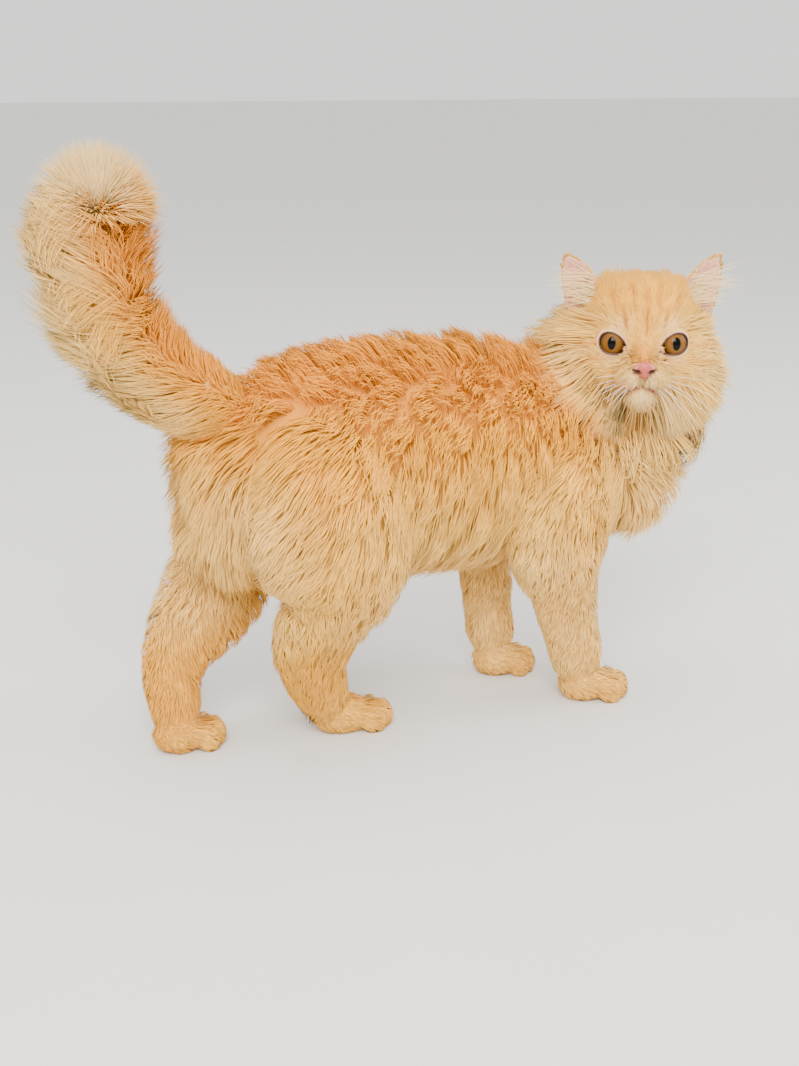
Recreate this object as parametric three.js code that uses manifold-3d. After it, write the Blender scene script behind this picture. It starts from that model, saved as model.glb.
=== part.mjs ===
// A long-haired cat standing on four feet, life size, in millimetres.
// +X runs from rump to chest, +Y to the cat's left, +Z up. The head is turned back over the right
// shoulder and the tail is raised. The group is moved at the end so that its origin lies on the
// floor under the middle of the cat.
import * as THREE from "three";
import { mergeVertices } from "three/addons/utils/BufferGeometryUtils.js";
import Module from "manifold-3d";

const wasm = await Module();
wasm.setup();

const GROW = 0.4; // a neighbour is swollen by this before it is cut away, so that a gap is left
const DEGREE = Math.PI / 180;
const CORE = 0.55; // how deep the core lies below the tips, as a share of the coat's depth
const LOCK_THICK = 0.065; // half the thickness of a lock, as a share of its width
const LOCK_BEND = 3; // how sharply a lock turns from rising to lying along the coat
const LOCK_TIP = 0.1; // how far its tip stands out past the coat, as a share of the depth
const WELD = 1e-3; // points closer than this are one
const UP = [0, 0, 1];
const AHEAD = [1, 0, 0];
const point = (x, y, z) => new THREE.Vector3(x, y, z);

// A BufferGeometry as a solid, turned round if its faces point inwards.
function toSolid(geometry, weld = 1e-4) {
  const bare = geometry.clone();
  bare.deleteAttribute("normal");
  bare.deleteAttribute("uv");
  const merged = mergeVertices(bare, weld);
  const triVerts = new Uint32Array(merged.index.array);
  const vertProperties = new Float32Array(merged.attributes.position.array);
  const make = () => new wasm.Manifold(new wasm.Mesh({ numProp: 3, vertProperties, triVerts }));
  const solid = make();
  if (solid.volume() > 0) return solid;
  for (let i = 0; i < triVerts.length; i += 3) {
    [triVerts[i + 1], triVerts[i + 2]] = [triVerts[i + 2], triVerts[i + 1]];
  }
  return make();
}

// A solid as a BufferGeometry
function geometryFrom(solid) {
  const mesh = solid.getMesh();
  const geometry = new THREE.BufferGeometry();
  geometry.setAttribute("position", new THREE.BufferAttribute(new Float32Array(mesh.vertProperties), 3));
  geometry.setIndex(new THREE.BufferAttribute(new Uint32Array(mesh.triVerts), 1));
  return geometry;
}

// The largest closed surface of a solid, also once points that nearly touch are made one
function largestSurface(solid) {
  const pieces = solid.decompose().sort((a, b) => b.volume() - a.volume());
  const welded = toSolid(geometryFrom(pieces[0]), WELD);
  return pieces.length === 1 && welded.decompose().length === 1 ? welded : largestSurface(welded);
}

// Whether each edge still has one face on either side once points that nearly touch are made one
function sound(solid) {
  const { array, count } = mergeVertices(geometryFrom(solid), WELD).index;
  const edges = new Set();
  for (let i = 0; i < count; i += 3) {
    const face = [array[i], array[i + 1], array[i + 2]];
    if (new Set(face).size < 3) continue;
    for (let k = 0; k < 3; k++) {
      const edge = `${face[k]} ${face[(k + 1) % 3]}`;
      if (edges.has(edge)) return false;
      edges.add(edge);
    }
  }
  return true;
}

const joined = (solids) => solids.reduce((all, next) => all.add(next));
const without = (solid, cuts) => cuts.reduce((left, cut) => left.subtract(cut), solid);

function geometryOf(points, faces) {
  const geometry = new THREE.BufferGeometry().setFromPoints(points);
  geometry.setIndex(faces);
  return geometry;
}

// A closed surface through rings of points, with one more point to close each end.
function throughRings(rings, first, last) {
  const around = rings[0].length;
  const points = [first, ...rings.flat(), last];
  const at = (ring, k) => 1 + ring * around + (k % around);
  const faces = [];
  for (let k = 0; k < around; k++) {
    faces.push(0, at(0, k + 1), at(0, k));
    for (let r = 0; r + 1 < rings.length; r++) {
      faces.push(at(r, k), at(r, k + 1), at(r + 1, k + 1));
      faces.push(at(r, k), at(r + 1, k + 1), at(r + 1, k));
    }
    faces.push(at(rings.length - 1, k), at(rings.length - 1, k + 1), points.length - 1);
  }
  return toSolid(geometryOf(points, faces));
}

// A form along a bent line, out to the tips of its coat. Each station is [x, y, z, half width, half
// height, depth of coat], and ahead is the direction that the half height is measured in. A pear
// share makes its lower side the wider one. Bare leaves out that share of the line at either end
// of the core, where the coat alone reaches on.
class Limb {
  constructor(stations, ahead, { rings = 8, around = 12, pear = 0, bare = [0, 0], blunt = 0.35 } = {}) {
    const curve = (points) => new THREE.CatmullRomCurve3(points, false, "catmullrom");
    this.line = curve(stations.map((s) => point(s[0], s[1], s[2])));
    this.size = curve(stations.map((s) => point(s[3], s[4], s[5] ?? 0)));
    this.ahead = point(...ahead);
    this.count = { rings, around };
    Object.assign(this, { pear, bare, blunt, length: this.line.getLength() });
  }
  frame(share) {
    const along = this.line.getTangentAt(share);
    const side = this.ahead.clone().cross(along).normalize();
    return { along, side, top: along.clone().cross(side), centre: this.line.getPointAt(share) };
  }
  // A point of the surface, sunk by a share of the coat's depth, or swollen
  surface(share, angle, sunk = 0, grow = 0) {
    const held = Math.min(1, Math.max(0, share));
    const { side, top, centre } = this.frame(held);
    const size = this.size.getPoint(this.line.getUtoTmapping(held));
    const inward = grow - sunk * size.z;
    const wide = (size.x + inward) * (1 - this.pear * Math.sin(angle));
    return centre
      .addScaledVector(side, wide * Math.cos(angle))
      .addScaledVector(top, (size.y + inward) * Math.sin(angle));
  }
  solid(sunk = 0, grow = 0) {
    const { rings, around } = this.count;
    const from = sunk > 0 ? this.bare[0] : 0;
    const to = sunk > 0 ? 1 - this.bare[1] : 1;
    const made = [];
    for (let r = 0; r <= rings; r++) {
      const share = from + ((to - from) * r) / rings;
      const ring = [];
      for (let k = 0; k < around; k++) ring.push(this.surface(share, (2 * Math.PI * k) / around, sunk, grow));
      made.push(ring);
    }
    const cap = (share, way) => {
      const { centre, along } = this.frame(share);
      const radius = this.surface(share, 0, sunk, grow).distanceTo(centre);
      return centre.addScaledVector(along, way * (this.blunt * radius + grow));
    };
    return throughRings(made, cap(from, -1), cap(to, 1));
  }
}

// A rounded form round a set of ellipsoids that run into one another. Each is { at, size } in the
// form's own axes, and the poles of the surface lie on the first of these axes.
class Lump {
  constructor(centre, axes, swellings, { blend, rings, around, crowd = 1, floor = null, depth = 0 }) {
    this.centre = point(...centre);
    this.count = { rings, around };
    Object.assign(this, { axes, swellings, blend, crowd, floor, depth });
  }
  filled(p, grow) {
    let sum = 0;
    for (const { at, size } of this.swellings) {
      const away = at.reduce((total, middle, i) => total + ((p[i] - middle) / (size[i] + grow)) ** 2, 0);
      sum += Math.exp(-this.blend * (away - 1));
    }
    return sum - 1;
  }
  // How far the surface lies from start along a direction, both in the form's own axes
  reach(start, direction, grow = 0) {
    const at = (r) => this.filled(direction.map((d, i) => start[i] + d * r), grow);
    const step = 2;
    let outside = 150;
    while (outside > step && at(outside - step) < 0) outside -= step;
    let inside = outside - step;
    for (let i = 0; i < 16; i++) {
      const middle = (inside + outside) / 2;
      if (at(middle) < 0) outside = middle;
      else inside = middle;
    }
    return inside;
  }
  toWorld(p) {
    const world = this.centre.clone();
    this.axes.forEach((axis, i) => world.addScaledVector(axis, p[i]));
    return world;
  }
  surface(share, angle, sunk = 0, grow = 0) {
    const polar = Math.PI * share ** this.crowd;
    const direction = [Math.cos(polar), Math.sin(polar) * Math.cos(angle), Math.sin(polar) * Math.sin(angle)];
    const r = this.reach([0, 0, 0], direction, grow - sunk * this.depth);
    const world = this.toWorld(direction.map((d) => d * r));
    if (this.floor !== null) world.z = Math.max(world.z, this.floor);
    return world;
  }
  solid(sunk = 0, grow = 0) {
    const { rings, around } = this.count;
    const made = [];
    for (let r = 1; r < rings; r++) {
      const ring = [];
      for (let k = 0; k < around; k++) {
        ring.push(this.surface(r / rings, (2 * Math.PI * k) / around, sunk, grow));
      }
      made.push(ring);
    }
    return throughRings(made, this.surface(0, 0, sunk, grow), this.surface(1, 0, sunk, grow));
  }
}

// Draws that come out the same each time
let seed = 7;
function draw(low, high) {
  seed = (Math.imul(seed, 1664525) + 1013904223) >>> 0;
  return low + ((high - low) * seed) / 2 ** 32;
}

// A flat, tapered lock that starts in the core of a form, rises out of it and bends over to lie
// along the coat. along and round say how far it runs, as a share of the line and as an angle.
const LOCK_RINGS = [
  { way: 0.05, wide: 0.45, high: 1 },
  { way: 0.34, wide: 1, high: 1 },
  { way: 0.7, wide: 0.74, high: 0.7 },
];
function lock(form, { share, angle, along, round, width, root, lift = 0 }, grow = 0) {
  const sunk = (way) => root * (1 - way) ** LOCK_BEND - (LOCK_TIP + lift) * way;
  const place = (way) => form.surface(share + along * way, angle + round * way, sunk(way));
  const rings = LOCK_RINGS.map(({ way, wide, high }) => {
    const centre = place(way);
    const ahead = place(way + 0.05).sub(centre).normalize();
    const outside = form.surface(share + along * way, angle + round * way, -0.1, 2);
    const outward = outside.sub(form.surface(share + along * way, angle + round * way, 0.1));
    const side = ahead.clone().cross(outward).normalize();
    const thick = side.clone().cross(ahead);
    const half = (width / 2) * wide + grow;
    const halfHigh = width * LOCK_THICK * high + grow;
    return [
      centre.clone().addScaledVector(side, half).addScaledVector(thick, -halfHigh),
      centre.clone().addScaledVector(thick, halfHigh),
      centre.clone().addScaledVector(side, -half).addScaledVector(thick, -halfHigh),
    ];
  });
  const start = place(0);
  const end = place(1);
  const first = start.clone().add(start.clone().sub(place(0.1)).setLength(2 + grow));
  const last = end.clone().add(end.clone().sub(place(0.9)).setLength(0.01 + 2 * grow));
  return throughRings(rings, first, last);
}

// Forward, left and up of something that points at a yaw and a pitch, in degrees
function axesAt(yaw, pitch = 0) {
  const level = Math.cos(pitch * DEGREE);
  const forward = point(
    Math.cos(yaw * DEGREE) * level,
    Math.sin(yaw * DEGREE) * level,
    Math.sin(pitch * DEGREE),
  );
  const left = point(-Math.sin(yaw * DEGREE), Math.cos(yaw * DEGREE), 0);
  return [forward, left, forward.clone().cross(left)];
}

const SIDES = { left: 1, right: -1 };
const mirrored = ([forward, left, up], side) => [forward, side * left, up];
const pair = (at, size) => [1, -1].map((side) => ({ at: mirrored(at, side), size }));

// Torso, from the rump to the chest, out to the tips of the coat
const torso = new Limb(
  [
    [-156, 14, 196, 12, 20, 8],
    [-150, 13, 196, 38, 48, 18],
    [-132, 12, 192, 58, 68, 24],
    [-102, 9, 190, 69, 80, 26],
    [-58, 6, 191, 75, 87, 26],
    [-10, 2, 192, 77, 87, 26],
    [40, -2, 190, 76, 87, 26],
    [84, -7, 184, 71, 81, 26],
    [118, -14, 175, 63, 67, 24],
    [148, -23, 167, 53, 51, 22],
    [172, -31, 160, 41, 37, 20],
    [187, -36, 157, 24, 24, 14],
    [194, -38, 155, 8, 9, 6],
  ],
  UP,
  { rings: 15, around: 18, pear: 0.06, bare: [0.03, 0.05] },
);

// Head, turned to the right. Its features are placed in its own axes, forward, left and up.
const headAxes = axesAt(-122, 6);
const head = new Lump(
  [163, -37, 262],
  headAxes,
  [
    { at: [-8, 0, 8], size: [42, 44, 40] },
    { at: [6, 0, 24], size: [26, 34, 22] },
    ...pair([2, 27, -15], [26, 25, 25]),
    ...pair([30, 9.5, -22], [13, 11.5, 10.5]),
    { at: [26, 0, -5], size: [16, 9, 15] },
    { at: [23, 0, -37], size: [14, 13, 9] },
    { at: [6, 0, -28], size: [26, 28, 17] },
  ],
  { blend: 5, rings: 22, around: 32, crowd: 1.3 },
);

// Neck with its ruff and the bib below the chin
const neck = new Lump(
  [162, -18, 229],
  headAxes,
  [
    { at: [-6, 4, 0], size: [42, 72, 54] },
    ...pair([-8, 44, 24], [34, 36, 36]),
    { at: [-6, -36, -6], size: [40, 46, 46] },
    { at: [13, 8, -38], size: [38, 54, 40] },
  ],
  { blend: 3.5, rings: 11, around: 16, depth: 30 },
);

// Eyes, and the lids that close round them
const EYE = { at: [22, 20.8, 1.5], radius: 10.8, outward: 8, lid: 1.5 };
const EYE_OPENING = { inner: [-10.4, -5.4], outer: [8.9, 1.2], top: 11.6, bottom: -10.6 };

// Nose and mouth
const NOSE_AT = [42, 0, -16];
const MOUTH = { lip: -31, corner: [12, -32.5], dip: -34, groove: 0.9, lipRound: 1.7 };

// Ears
const EAR = { base: [-5, 38, 27], tip: [-5, 53, 60], sunk: 0.45, halfWidth: 17.5, cup: 10, thick: 1.8 };

const noseForm = new Lump(
  head.toWorld(NOSE_AT).toArray(),
  headAxes,
  [
    { at: [0, 0, 2], size: [4, 6.4, 4.2] },
    ...pair([-1, 5, 0.5], [3.8, 3.8, 3.4]),
    { at: [-0.6, 0, -3.6], size: [3.2, 2.6, 4] },
  ],
  { blend: 4, rings: 7, around: 12 },
);

function nostril(side) {
  const at = [NOSE_AT[0] + 3, side * 4.6, NOSE_AT[2] - 0.6];
  const hole = new Lump(
    head.toWorld(at).toArray(),
    headAxes,
    [
      { at: [0, 0, 0], size: [3, 1.7, 1.3] },
      { at: [-0.8, side * 2.2, -0.2], size: [2.4, 2.2, 0.7] },
    ],
    { blend: 3, rings: 6, around: 8 },
  );
  return hole.solid();
}

// Where the face lies in front of a point of the head, seen from the front
function onFace(left, up, out = 0) {
  const start = [4, left, up];
  return head.toWorld([start[0] + head.reach(start, [1, 0, 0]) + out, left, up]);
}

function strand(places, radius, out) {
  const stations = places.map(([left, up]) => [...onFace(left, up, out).toArray(), radius, radius]);
  return new Limb(stations, UP, { rings: 10, around: 6 }).solid();
}

const eyeCentre = (side) => head.toWorld(mirrored(EYE.at, side));

// The eyeball or a ball round it
function ball(side, radius) {
  const centre = eyeCentre(side);
  return toSolid(new THREE.SphereGeometry(radius, 14, 10).translate(centre.x, centre.y, centre.z));
}

// The almond-shaped opening between the lids
function eyeOpening(side) {
  const { inner, outer, top, bottom } = EYE_OPENING;
  const almond = new THREE.Shape();
  almond.moveTo(...inner);
  almond.bezierCurveTo(inner[0] + 3, top, outer[0], top, ...outer);
  almond.bezierCurveTo(outer[0], bottom, inner[0] + 5, bottom, ...inner);
  const prism = new THREE.ExtrudeGeometry(almond, { depth: 16, bevelEnabled: false, curveSegments: 8 });
  const [forward] = axesAt(-122 + side * EYE.outward, 6);
  const across = headAxes[2].clone().cross(forward).multiplyScalar(side).normalize();
  const up = forward.clone().cross(across).multiplyScalar(side);
  prism.applyMatrix4(new THREE.Matrix4().makeBasis(across, up, forward));
  const start = eyeCentre(side).addScaledVector(forward, 3);
  return toSolid(prism.translate(start.x, start.y, start.z));
}

// A solid between two like grids of points, split into triangles alike on both faces
function closedSheet(front, back, columns, rows) {
  const faces = [];
  const other = front.length;
  const at = (row, column) => row * columns + column;
  for (let r = 0; r + 1 < rows; r++) {
    for (let c = 0; c + 1 < columns; c++) {
      const [a, b, d, e] = [at(r, c), at(r, c + 1), at(r + 1, c), at(r + 1, c + 1)];
      faces.push(a, b, e, a, e, d);
      faces.push(other + a, other + e, other + b, other + a, other + d, other + e);
    }
  }
  const rim = [];
  for (let c = 0; c + 1 < columns; c++) rim.push(at(0, c));
  for (let r = 0; r + 1 < rows; r++) rim.push(at(r, columns - 1));
  for (let c = columns - 1; c > 0; c--) rim.push(at(rows - 1, c));
  for (let r = rows - 1; r > 0; r--) rim.push(at(r, 0));
  rim.forEach((a, i) => {
    const b = rim[(i + 1) % rim.length];
    faces.push(b, a, other + a, b, other + a, other + b);
  });
  return toSolid(geometryOf([...front, ...back], faces));
}

// The cupped sheet of an ear
function earCup(side) {
  const across = 8;
  const upward = 7;
  const base = point(...mirrored(EAR.base, side));
  const rise = point(...mirrored(EAR.tip, side)).sub(base);
  const start = base.clone().addScaledVector(rise, -EAR.sunk);
  const opening = point(0.94, side * 0.34, 0);
  const width = rise.clone().cross(opening).normalize().multiplyScalar(side);
  const front = [];
  const back = [];
  for (let v = 0; v <= upward; v++) {
    const share = v / upward;
    const half = EAR.halfWidth * (1 - share) ** 0.55 + 1.2;
    const depth = EAR.cup * (1 - share) ** 0.7;
    for (let u = 0; u <= across; u++) {
      const swing = (u / across - 0.5) * Math.PI * 0.9;
      const middle = start
        .clone()
        .addScaledVector(rise, (1 + EAR.sunk) * share)
        .addScaledVector(width, half * Math.sin(swing))
        .addScaledVector(opening, -depth * Math.cos(swing));
      const outward = width
        .clone()
        .multiplyScalar(Math.sin(swing) * 0.7)
        .addScaledVector(opening, -Math.cos(swing))
        .normalize();
      const inside = middle.clone().addScaledVector(outward, -EAR.thick / 2);
      const outside = middle.addScaledVector(outward, EAR.thick / 2);
      front.push(head.toWorld(inside.toArray()));
      back.push(head.toWorld(outside.toArray()));
    }
  }
  return closedSheet(front, back, across + 1, upward + 1);
}

// Legs: the shoulder or thigh, the part below it, and the paw
const LEGS = {
  foreleg_right: {
    upper: [
      [98, -28, 206, 14, 20, 4],
      [94, -42, 188, 27, 42, 10],
      [90, -50, 160, 29, 50, 12],
      [88, -53, 130, 27, 43, 12],
      [92, -52, 106, 24, 34, 10],
      [97, -51, 92, 15, 20, 6],
    ],
    lower: [
      [90, -51, 118, 14, 20, 4],
      [94, -51, 102, 22, 30, 8],
      [99, -49, 80, 20, 26, 7],
      [106, -48, 55, 18, 22.5, 5],
      [112, -47, 35, 17.5, 21, 4],
      [116, -47, 20, 12, 14, 3],
    ],
    paw: { at: [124, -49, 13], yaw: -28, long: 27, wide: 20, high: 14.5 },
  },
  foreleg_left: {
    upper: [
      [94, 18, 202, 14, 20, 4],
      [92, 31, 185, 26, 40, 10],
      [88, 39, 155, 28, 45, 12],
      [83, 41, 125, 25, 37, 12],
      [82, 39, 102, 21, 29, 10],
      [83, 37, 90, 13, 18, 6],
    ],
    lower: [
      [83, 39, 112, 13, 18, 4],
      [82, 37, 98, 20, 26, 8],
      [82, 33, 72, 18, 22, 7],
      [82, 30, 48, 17, 20.5, 5],
      [84, 28, 32, 16.5, 20, 4],
      [86, 27, 18, 11, 13, 3],
    ],
    paw: { at: [90, 22, 13], yaw: -22, long: 25, wide: 19, high: 14.5 },
  },
  hindleg_right: {
    upper: [
      [-104, -22, 224, 18, 22, 4],
      [-99, -40, 206, 33, 46, 12],
      [-93, -50, 175, 36, 58, 14],
      [-86, -54, 145, 34, 56, 14],
      [-84, -52, 122, 30, 47, 13],
      [-88, -47, 102, 22, 32, 12],
      [-91, -42, 90, 12, 16, 6],
    ],
    lower: [
      [-84, -51, 122, 13, 18, 5],
      [-88, -45, 106, 25, 36, 11],
      [-92, -36, 88, 24, 35, 10],
      [-93, -28, 71, 21, 30, 8],
      [-90, -21, 54, 19, 24, 6],
      [-83, -15, 38, 18, 22, 5],
      [-76, -12, 24, 15, 17, 4],
      [-73, -11, 16, 8, 9, 3],
    ],
    paw: { at: [-59, -13, 13], yaw: -13, long: 30, wide: 20, high: 14 },
  },
  hindleg_left: {
    upper: [
      [-112, 20, 216, 18, 24, 4],
      [-110, 34, 196, 33, 42, 12],
      [-112, 44, 166, 35, 46, 14],
      [-119, 48, 138, 32, 46, 16],
      [-129, 47, 114, 28, 38, 14],
      [-140, 43, 96, 16, 20, 8],
    ],
    lower: [
      [-116, 48, 128, 13, 18, 5],
      [-128, 46, 110, 26, 40, 13],
      [-148, 39, 88, 25, 38, 14],
      [-167, 31, 68, 20, 29, 9],
      [-176, 25, 50, 17.5, 22, 6],
      [-177, 20, 34, 17, 20, 5],
      [-177, 16, 22, 14, 16, 4],
      [-177, 14, 14, 8, 9, 3],
    ],
    paw: { at: [-172, 12, 13], yaw: -7, long: 26, wide: 20, high: 14 },
  },
};

// A paw: its back, four toes and a flat sole on the floor
function pawForm({ at, yaw, long, wide, high }) {
  const toes = [
    [0.52, 0.6],
    [0.74, 0.21],
    [0.74, -0.21],
    [0.52, -0.6],
  ].map(([forward, left]) => ({
    at: [forward * long, left * wide, -0.3 * high],
    size: [0.32 * long, 0.27 * wide, 0.78 * high],
  }));
  const back = { at: [-0.2 * long, 0, -0.1 * high], size: [0.72 * long, 0.84 * wide, 1.08 * high] };
  return new Lump(at, axesAt(yaw), [back, ...toes], { blend: 5, rings: 10, around: 16, floor: 0 });
}

// Tail, from its root to its tip, out to the tips of the plume
const tail = new Limb(
  [
    [-128, 3, 230, 14, 16, 4],
    [-150, 1, 243, 24, 28, 12],
    [-174, 0, 259, 26, 31, 20],
    [-196, -2, 283, 27, 33, 24],
    [-212, -4, 311, 30, 37, 27],
    [-218, -6, 340, 32, 41, 31],
    [-219, -9, 368, 33, 42, 33],
    [-219, -11, 388, 29, 36, 30],
    [-219, -12, 402, 20, 24, 20],
    [-219, -13, 409, 9, 11, 9],
  ],
  AHEAD,
  { rings: 11, around: 10, bare: [0, 0.09] },
);
const TAIL_SPLIT = 0.46; // where it is split in two, as a share of its line

const finish = (color, roughness) => new THREE.MeshStandardMaterial({ color, roughness, metalness: 0 });
const coat = finish(0xdca767, 0.9);
const paleCoat = finish(0xe9cfa3, 0.9);
const noseLeather = finish(0xd98a84, 0.5);
const iris = finish(0xb07a35, 0.08);

// Every node: its body as a function of how far it is swollen, what is cut out of it, and the
// locks that grow on it. A node is cut clear of the bodies before it.
const nodes = [];
function add(name, material, body, { cuts = [], form = null, locks = [] } = {}) {
  const node = { name, material, form, locks, lockRooms: [] };
  nodes.push({ ...node, swollen: body(GROW), solid: without(body(0), cuts) });
}

for (const [name, side] of Object.entries(SIDES)) {
  add(`eye_${name}`, iris, (grow) => ball(side, EYE.radius + grow));
}
add("nose", noseLeather, (grow) => noseForm.solid(0, grow), { cuts: [nostril(1), nostril(-1)] });

const { lip, corner, dip, groove, lipRound } = MOUTH;
const mouthLine = [[-corner[0], corner[1]], [-5, -31.8], [0, lip + 1.5], [5, -31.8], corner];
const philtrum = [[0, NOSE_AT[2] - 5], [0, -26], [0, lip + 1]];
const lowerLip = [[-9, dip - 1.6], [-4, dip], [0, dip + 0.2], [4, dip], [9, dip - 1.6]];
function headBody(grow) {
  const lids = Object.values(SIDES).map((side) => ball(side, EYE.radius + EYE.lid + grow));
  return joined([head.solid(0, grow), ...lids, strand(lowerLip, lipRound + grow, -0.6)]);
}
add("head", coat, headBody, {
  cuts: [...Object.values(SIDES).map(eyeOpening), strand(mouthLine, groove, 0.2), strand(philtrum, 0.6, 0.2)],
});

for (const [name, side] of Object.entries(SIDES)) {
  add(`ear_${name}`, coat, () => earCup(side));
}

// How far locks of some length run along and round the form, at an angle round it. The coat of
// the torso lies back along the spine and hangs down the flanks.
const FLANK_STEEP = 60 * DEGREE;
function flankLie(angle, length) {
  const steep = FLANK_STEEP * Math.abs(Math.cos(angle));
  const down = -Math.sign(Math.cos(angle)) * Math.sin(steep);
  return [(-length * Math.cos(steep)) / torso.length, (down * length) / TORSO_RADIUS];
}
const legLie = (form) => (angle, length) => [
  (0.85 * length) / form.length,
  (-0.5 * Math.cos(angle) * length) / LEG_RADIUS,
];
const ruffLie = (angle, length) => [length / NECK_LENGTH, -0.12 * Math.cos(angle)];
const plumeLie = (angle, length) => [length / tail.length, 0];
const TORSO_RADIUS = 80;
const LEG_RADIUS = 45;
const NECK_LENGTH = 180;

// The locks of each form: the shares of its line at which their rows start, how many stand round
// it, their width and length, and how deep they are rooted as a share of the coat's depth
const evenly = (from, to, count) =>
  Array.from({ length: count }, (_, i) => from + ((to - from) * i) / (count - 1));
const LOCKS = {
  torso: { rows: evenly(0.12, 0.95, 7), around: 10, width: 46, long: 82, root: 0.85 },
  neck: { rows: [0.42, 0.52, 0.62, 0.74], around: 11, width: 32, long: 32, root: 0.6 },
  tail_plume: { rows: evenly(TAIL_SPLIT + 0.05, 0.86, 4), around: 5, width: 43, long: 52, root: 0.9 },
  tail_base: { rows: [0.16, 0.36], around: 5, width: 38, long: 64, root: 0.85 },
  foreleg: {
    upper: { rows: evenly(0.16, 0.72, 3), around: 5, width: 42, long: 60, root: 0.85 },
    lower: { rows: [0.22], around: 4, width: 28, long: 42, root: 0.85 },
  },
  hindleg: {
    upper: { rows: evenly(0.16, 0.72, 4), around: 5, width: 42, long: 60, root: 0.85 },
    lower: { rows: [0.2, 0.4], around: 4, width: 28, long: 42, root: 0.85 },
  },
};

// Locks in staggered rows over a form, no two quite alike
const UNLIKE = { angle: 0.08, share: 0.012, size: 0.15 };
const varied = (size) => size * draw(1 - UNLIKE.size, 1 + UNLIKE.size);
function locksOver(lie, { rows, around, width, long, root }) {
  return rows.flatMap((start, row) =>
    Array.from({ length: around }, (_, k) => {
      const middle = (2 * Math.PI * (k + 0.5 * (row % 2))) / around;
      const angle = middle + draw(-UNLIKE.angle, UNLIKE.angle);
      const [along, round] = lie(angle, varied(long));
      const share = start + draw(-UNLIKE.share, UNLIKE.share);
      return { share, angle, along, round, width: varied(width), root };
    }),
  );
}

const body = (form) => (grow) => form.solid(CORE, grow);
for (const [name, leg] of Object.entries(LEGS)) {
  const paw = pawForm(leg.paw);
  add(`${name}_paw`, coat, (grow) => paw.solid(0, grow));
}
add("torso", coat, body(torso), { form: torso, locks: locksOver(flankLie, LOCKS.torso) });
add("neck", paleCoat, body(neck), { form: neck, locks: locksOver(ruffLie, LOCKS.neck) });

// The tail is split where it bends upward. Its upper length carries the widest part of the plume.
function tailLength(way) {
  const { along, centre } = tail.frame(TAIL_SPLIT);
  const normal = along.multiplyScalar(way);
  return (grow) => tail.solid(CORE, grow).trimByPlane(normal.toArray(), normal.dot(centre) - grow);
}
for (const [name, way] of [["tail_plume", 1], ["tail_base", -1]]) {
  add(name, paleCoat, tailLength(way), { form: tail, locks: locksOver(plumeLie, LOCKS[name]) });
}

for (const [name, leg] of Object.entries(LEGS)) {
  for (const part of ["upper", "lower"]) {
    const form = new Limb(leg[part], AHEAD);
    const locks = locksOver(legLie(form), LOCKS[name.split("_")[0]][part]);
    add(`${name}_${part}`, coat, body(form), { form, locks });
  }
}

// Each body loses what it shares with the bodies before it.
nodes.forEach((node, i) => {
  node.solid = without(node.solid, nodes.slice(0, i).map((other) => other.swollen));
});

// Two boxes that may hold something in common
function meet(a, b) {
  const one = a.boundingBox();
  const two = b.boundingBox();
  return [0, 1, 2].every((i) => one.min[i] < two.max[i] && two.min[i] < one.max[i]);
}

// A lock that would touch another node or the floor is shortened, bent to one side and lifted, and
// left out only where none of these clears it: each is [shorter, aside, lift].
const BENDS = [
  [1, 0, 0],
  [0.9, 0.15, 0.1],
  [0.9, -0.15, 0.1],
  [0.85, 0.3, 0.2],
  [0.85, -0.3, 0.2],
  [0.6, 0.5, 0],
  [0.6, -0.5, 0],
  [0.5, 0, 0.1],
];
const ASIDE = 0.5;
const LEAST = 0.001;
const FLOOR_CLEAR = 0.6;
for (const node of [...nodes].reverse()) {
  const others = nodes.filter((other) => other !== node);
  const barred = others.flatMap((other) => [other.swollen, ...other.lockRooms]);
  const clear = (solid) =>
    solid.boundingBox().min[2] > FLOOR_CLEAR &&
    barred.every((other) => !meet(solid, other) || solid.intersect(other).volume() < LEAST);
  for (const spec of node.locks) {
    for (const [shorter, aside, lift] of BENDS) {
      const [along, round] = [spec.along * shorter, spec.round * shorter + aside * ASIDE];
      const bent = { ...spec, along, round, lift };
      const solid = lock(node.form, bent);
      if (!clear(solid)) continue;
      const grown = node.solid.add(solid);
      if (!sound(grown) || grown.decompose().filter((piece) => piece.volume() > 0).length > 1) continue;
      node.solid = grown;
      node.lockRooms.push(lock(node.form, bent, GROW));
      break;
    }
  }
  node.solid = largestSurface(node.solid);
}

// The origin lies on the floor under the middle of the cat, to the nearest whole weld.
const extent = new THREE.Box3();
for (const { solid } of nodes) {
  const { min, max } = solid.boundingBox();
  extent.union(new THREE.Box3(point(...min), point(...max)));
}
const middle = extent.getCenter(point(0, 0, 0)).setZ(extent.min.z);
middle.divideScalar(WELD).round().multiplyScalar(WELD);

const cat = new THREE.Group();
for (const { name, material, solid } of nodes) {
  const geometry = geometryFrom(solid);
  geometry.computeVertexNormals();
  const mesh = new THREE.Mesh(geometry, material);
  mesh.name = name;
  cat.add(mesh);
}
cat.position.copy(middle.negate());

export default cat;
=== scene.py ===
"""A long-haired orange and cream cat, life size, standing with its head turned and its tail raised.

Lengths are in metres in the part's own frame: +X from rump to chest, +Y to the cat's left, +Z up.
The stations and swellings below are written in millimetres, as a maker would note them down.
"""

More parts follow.
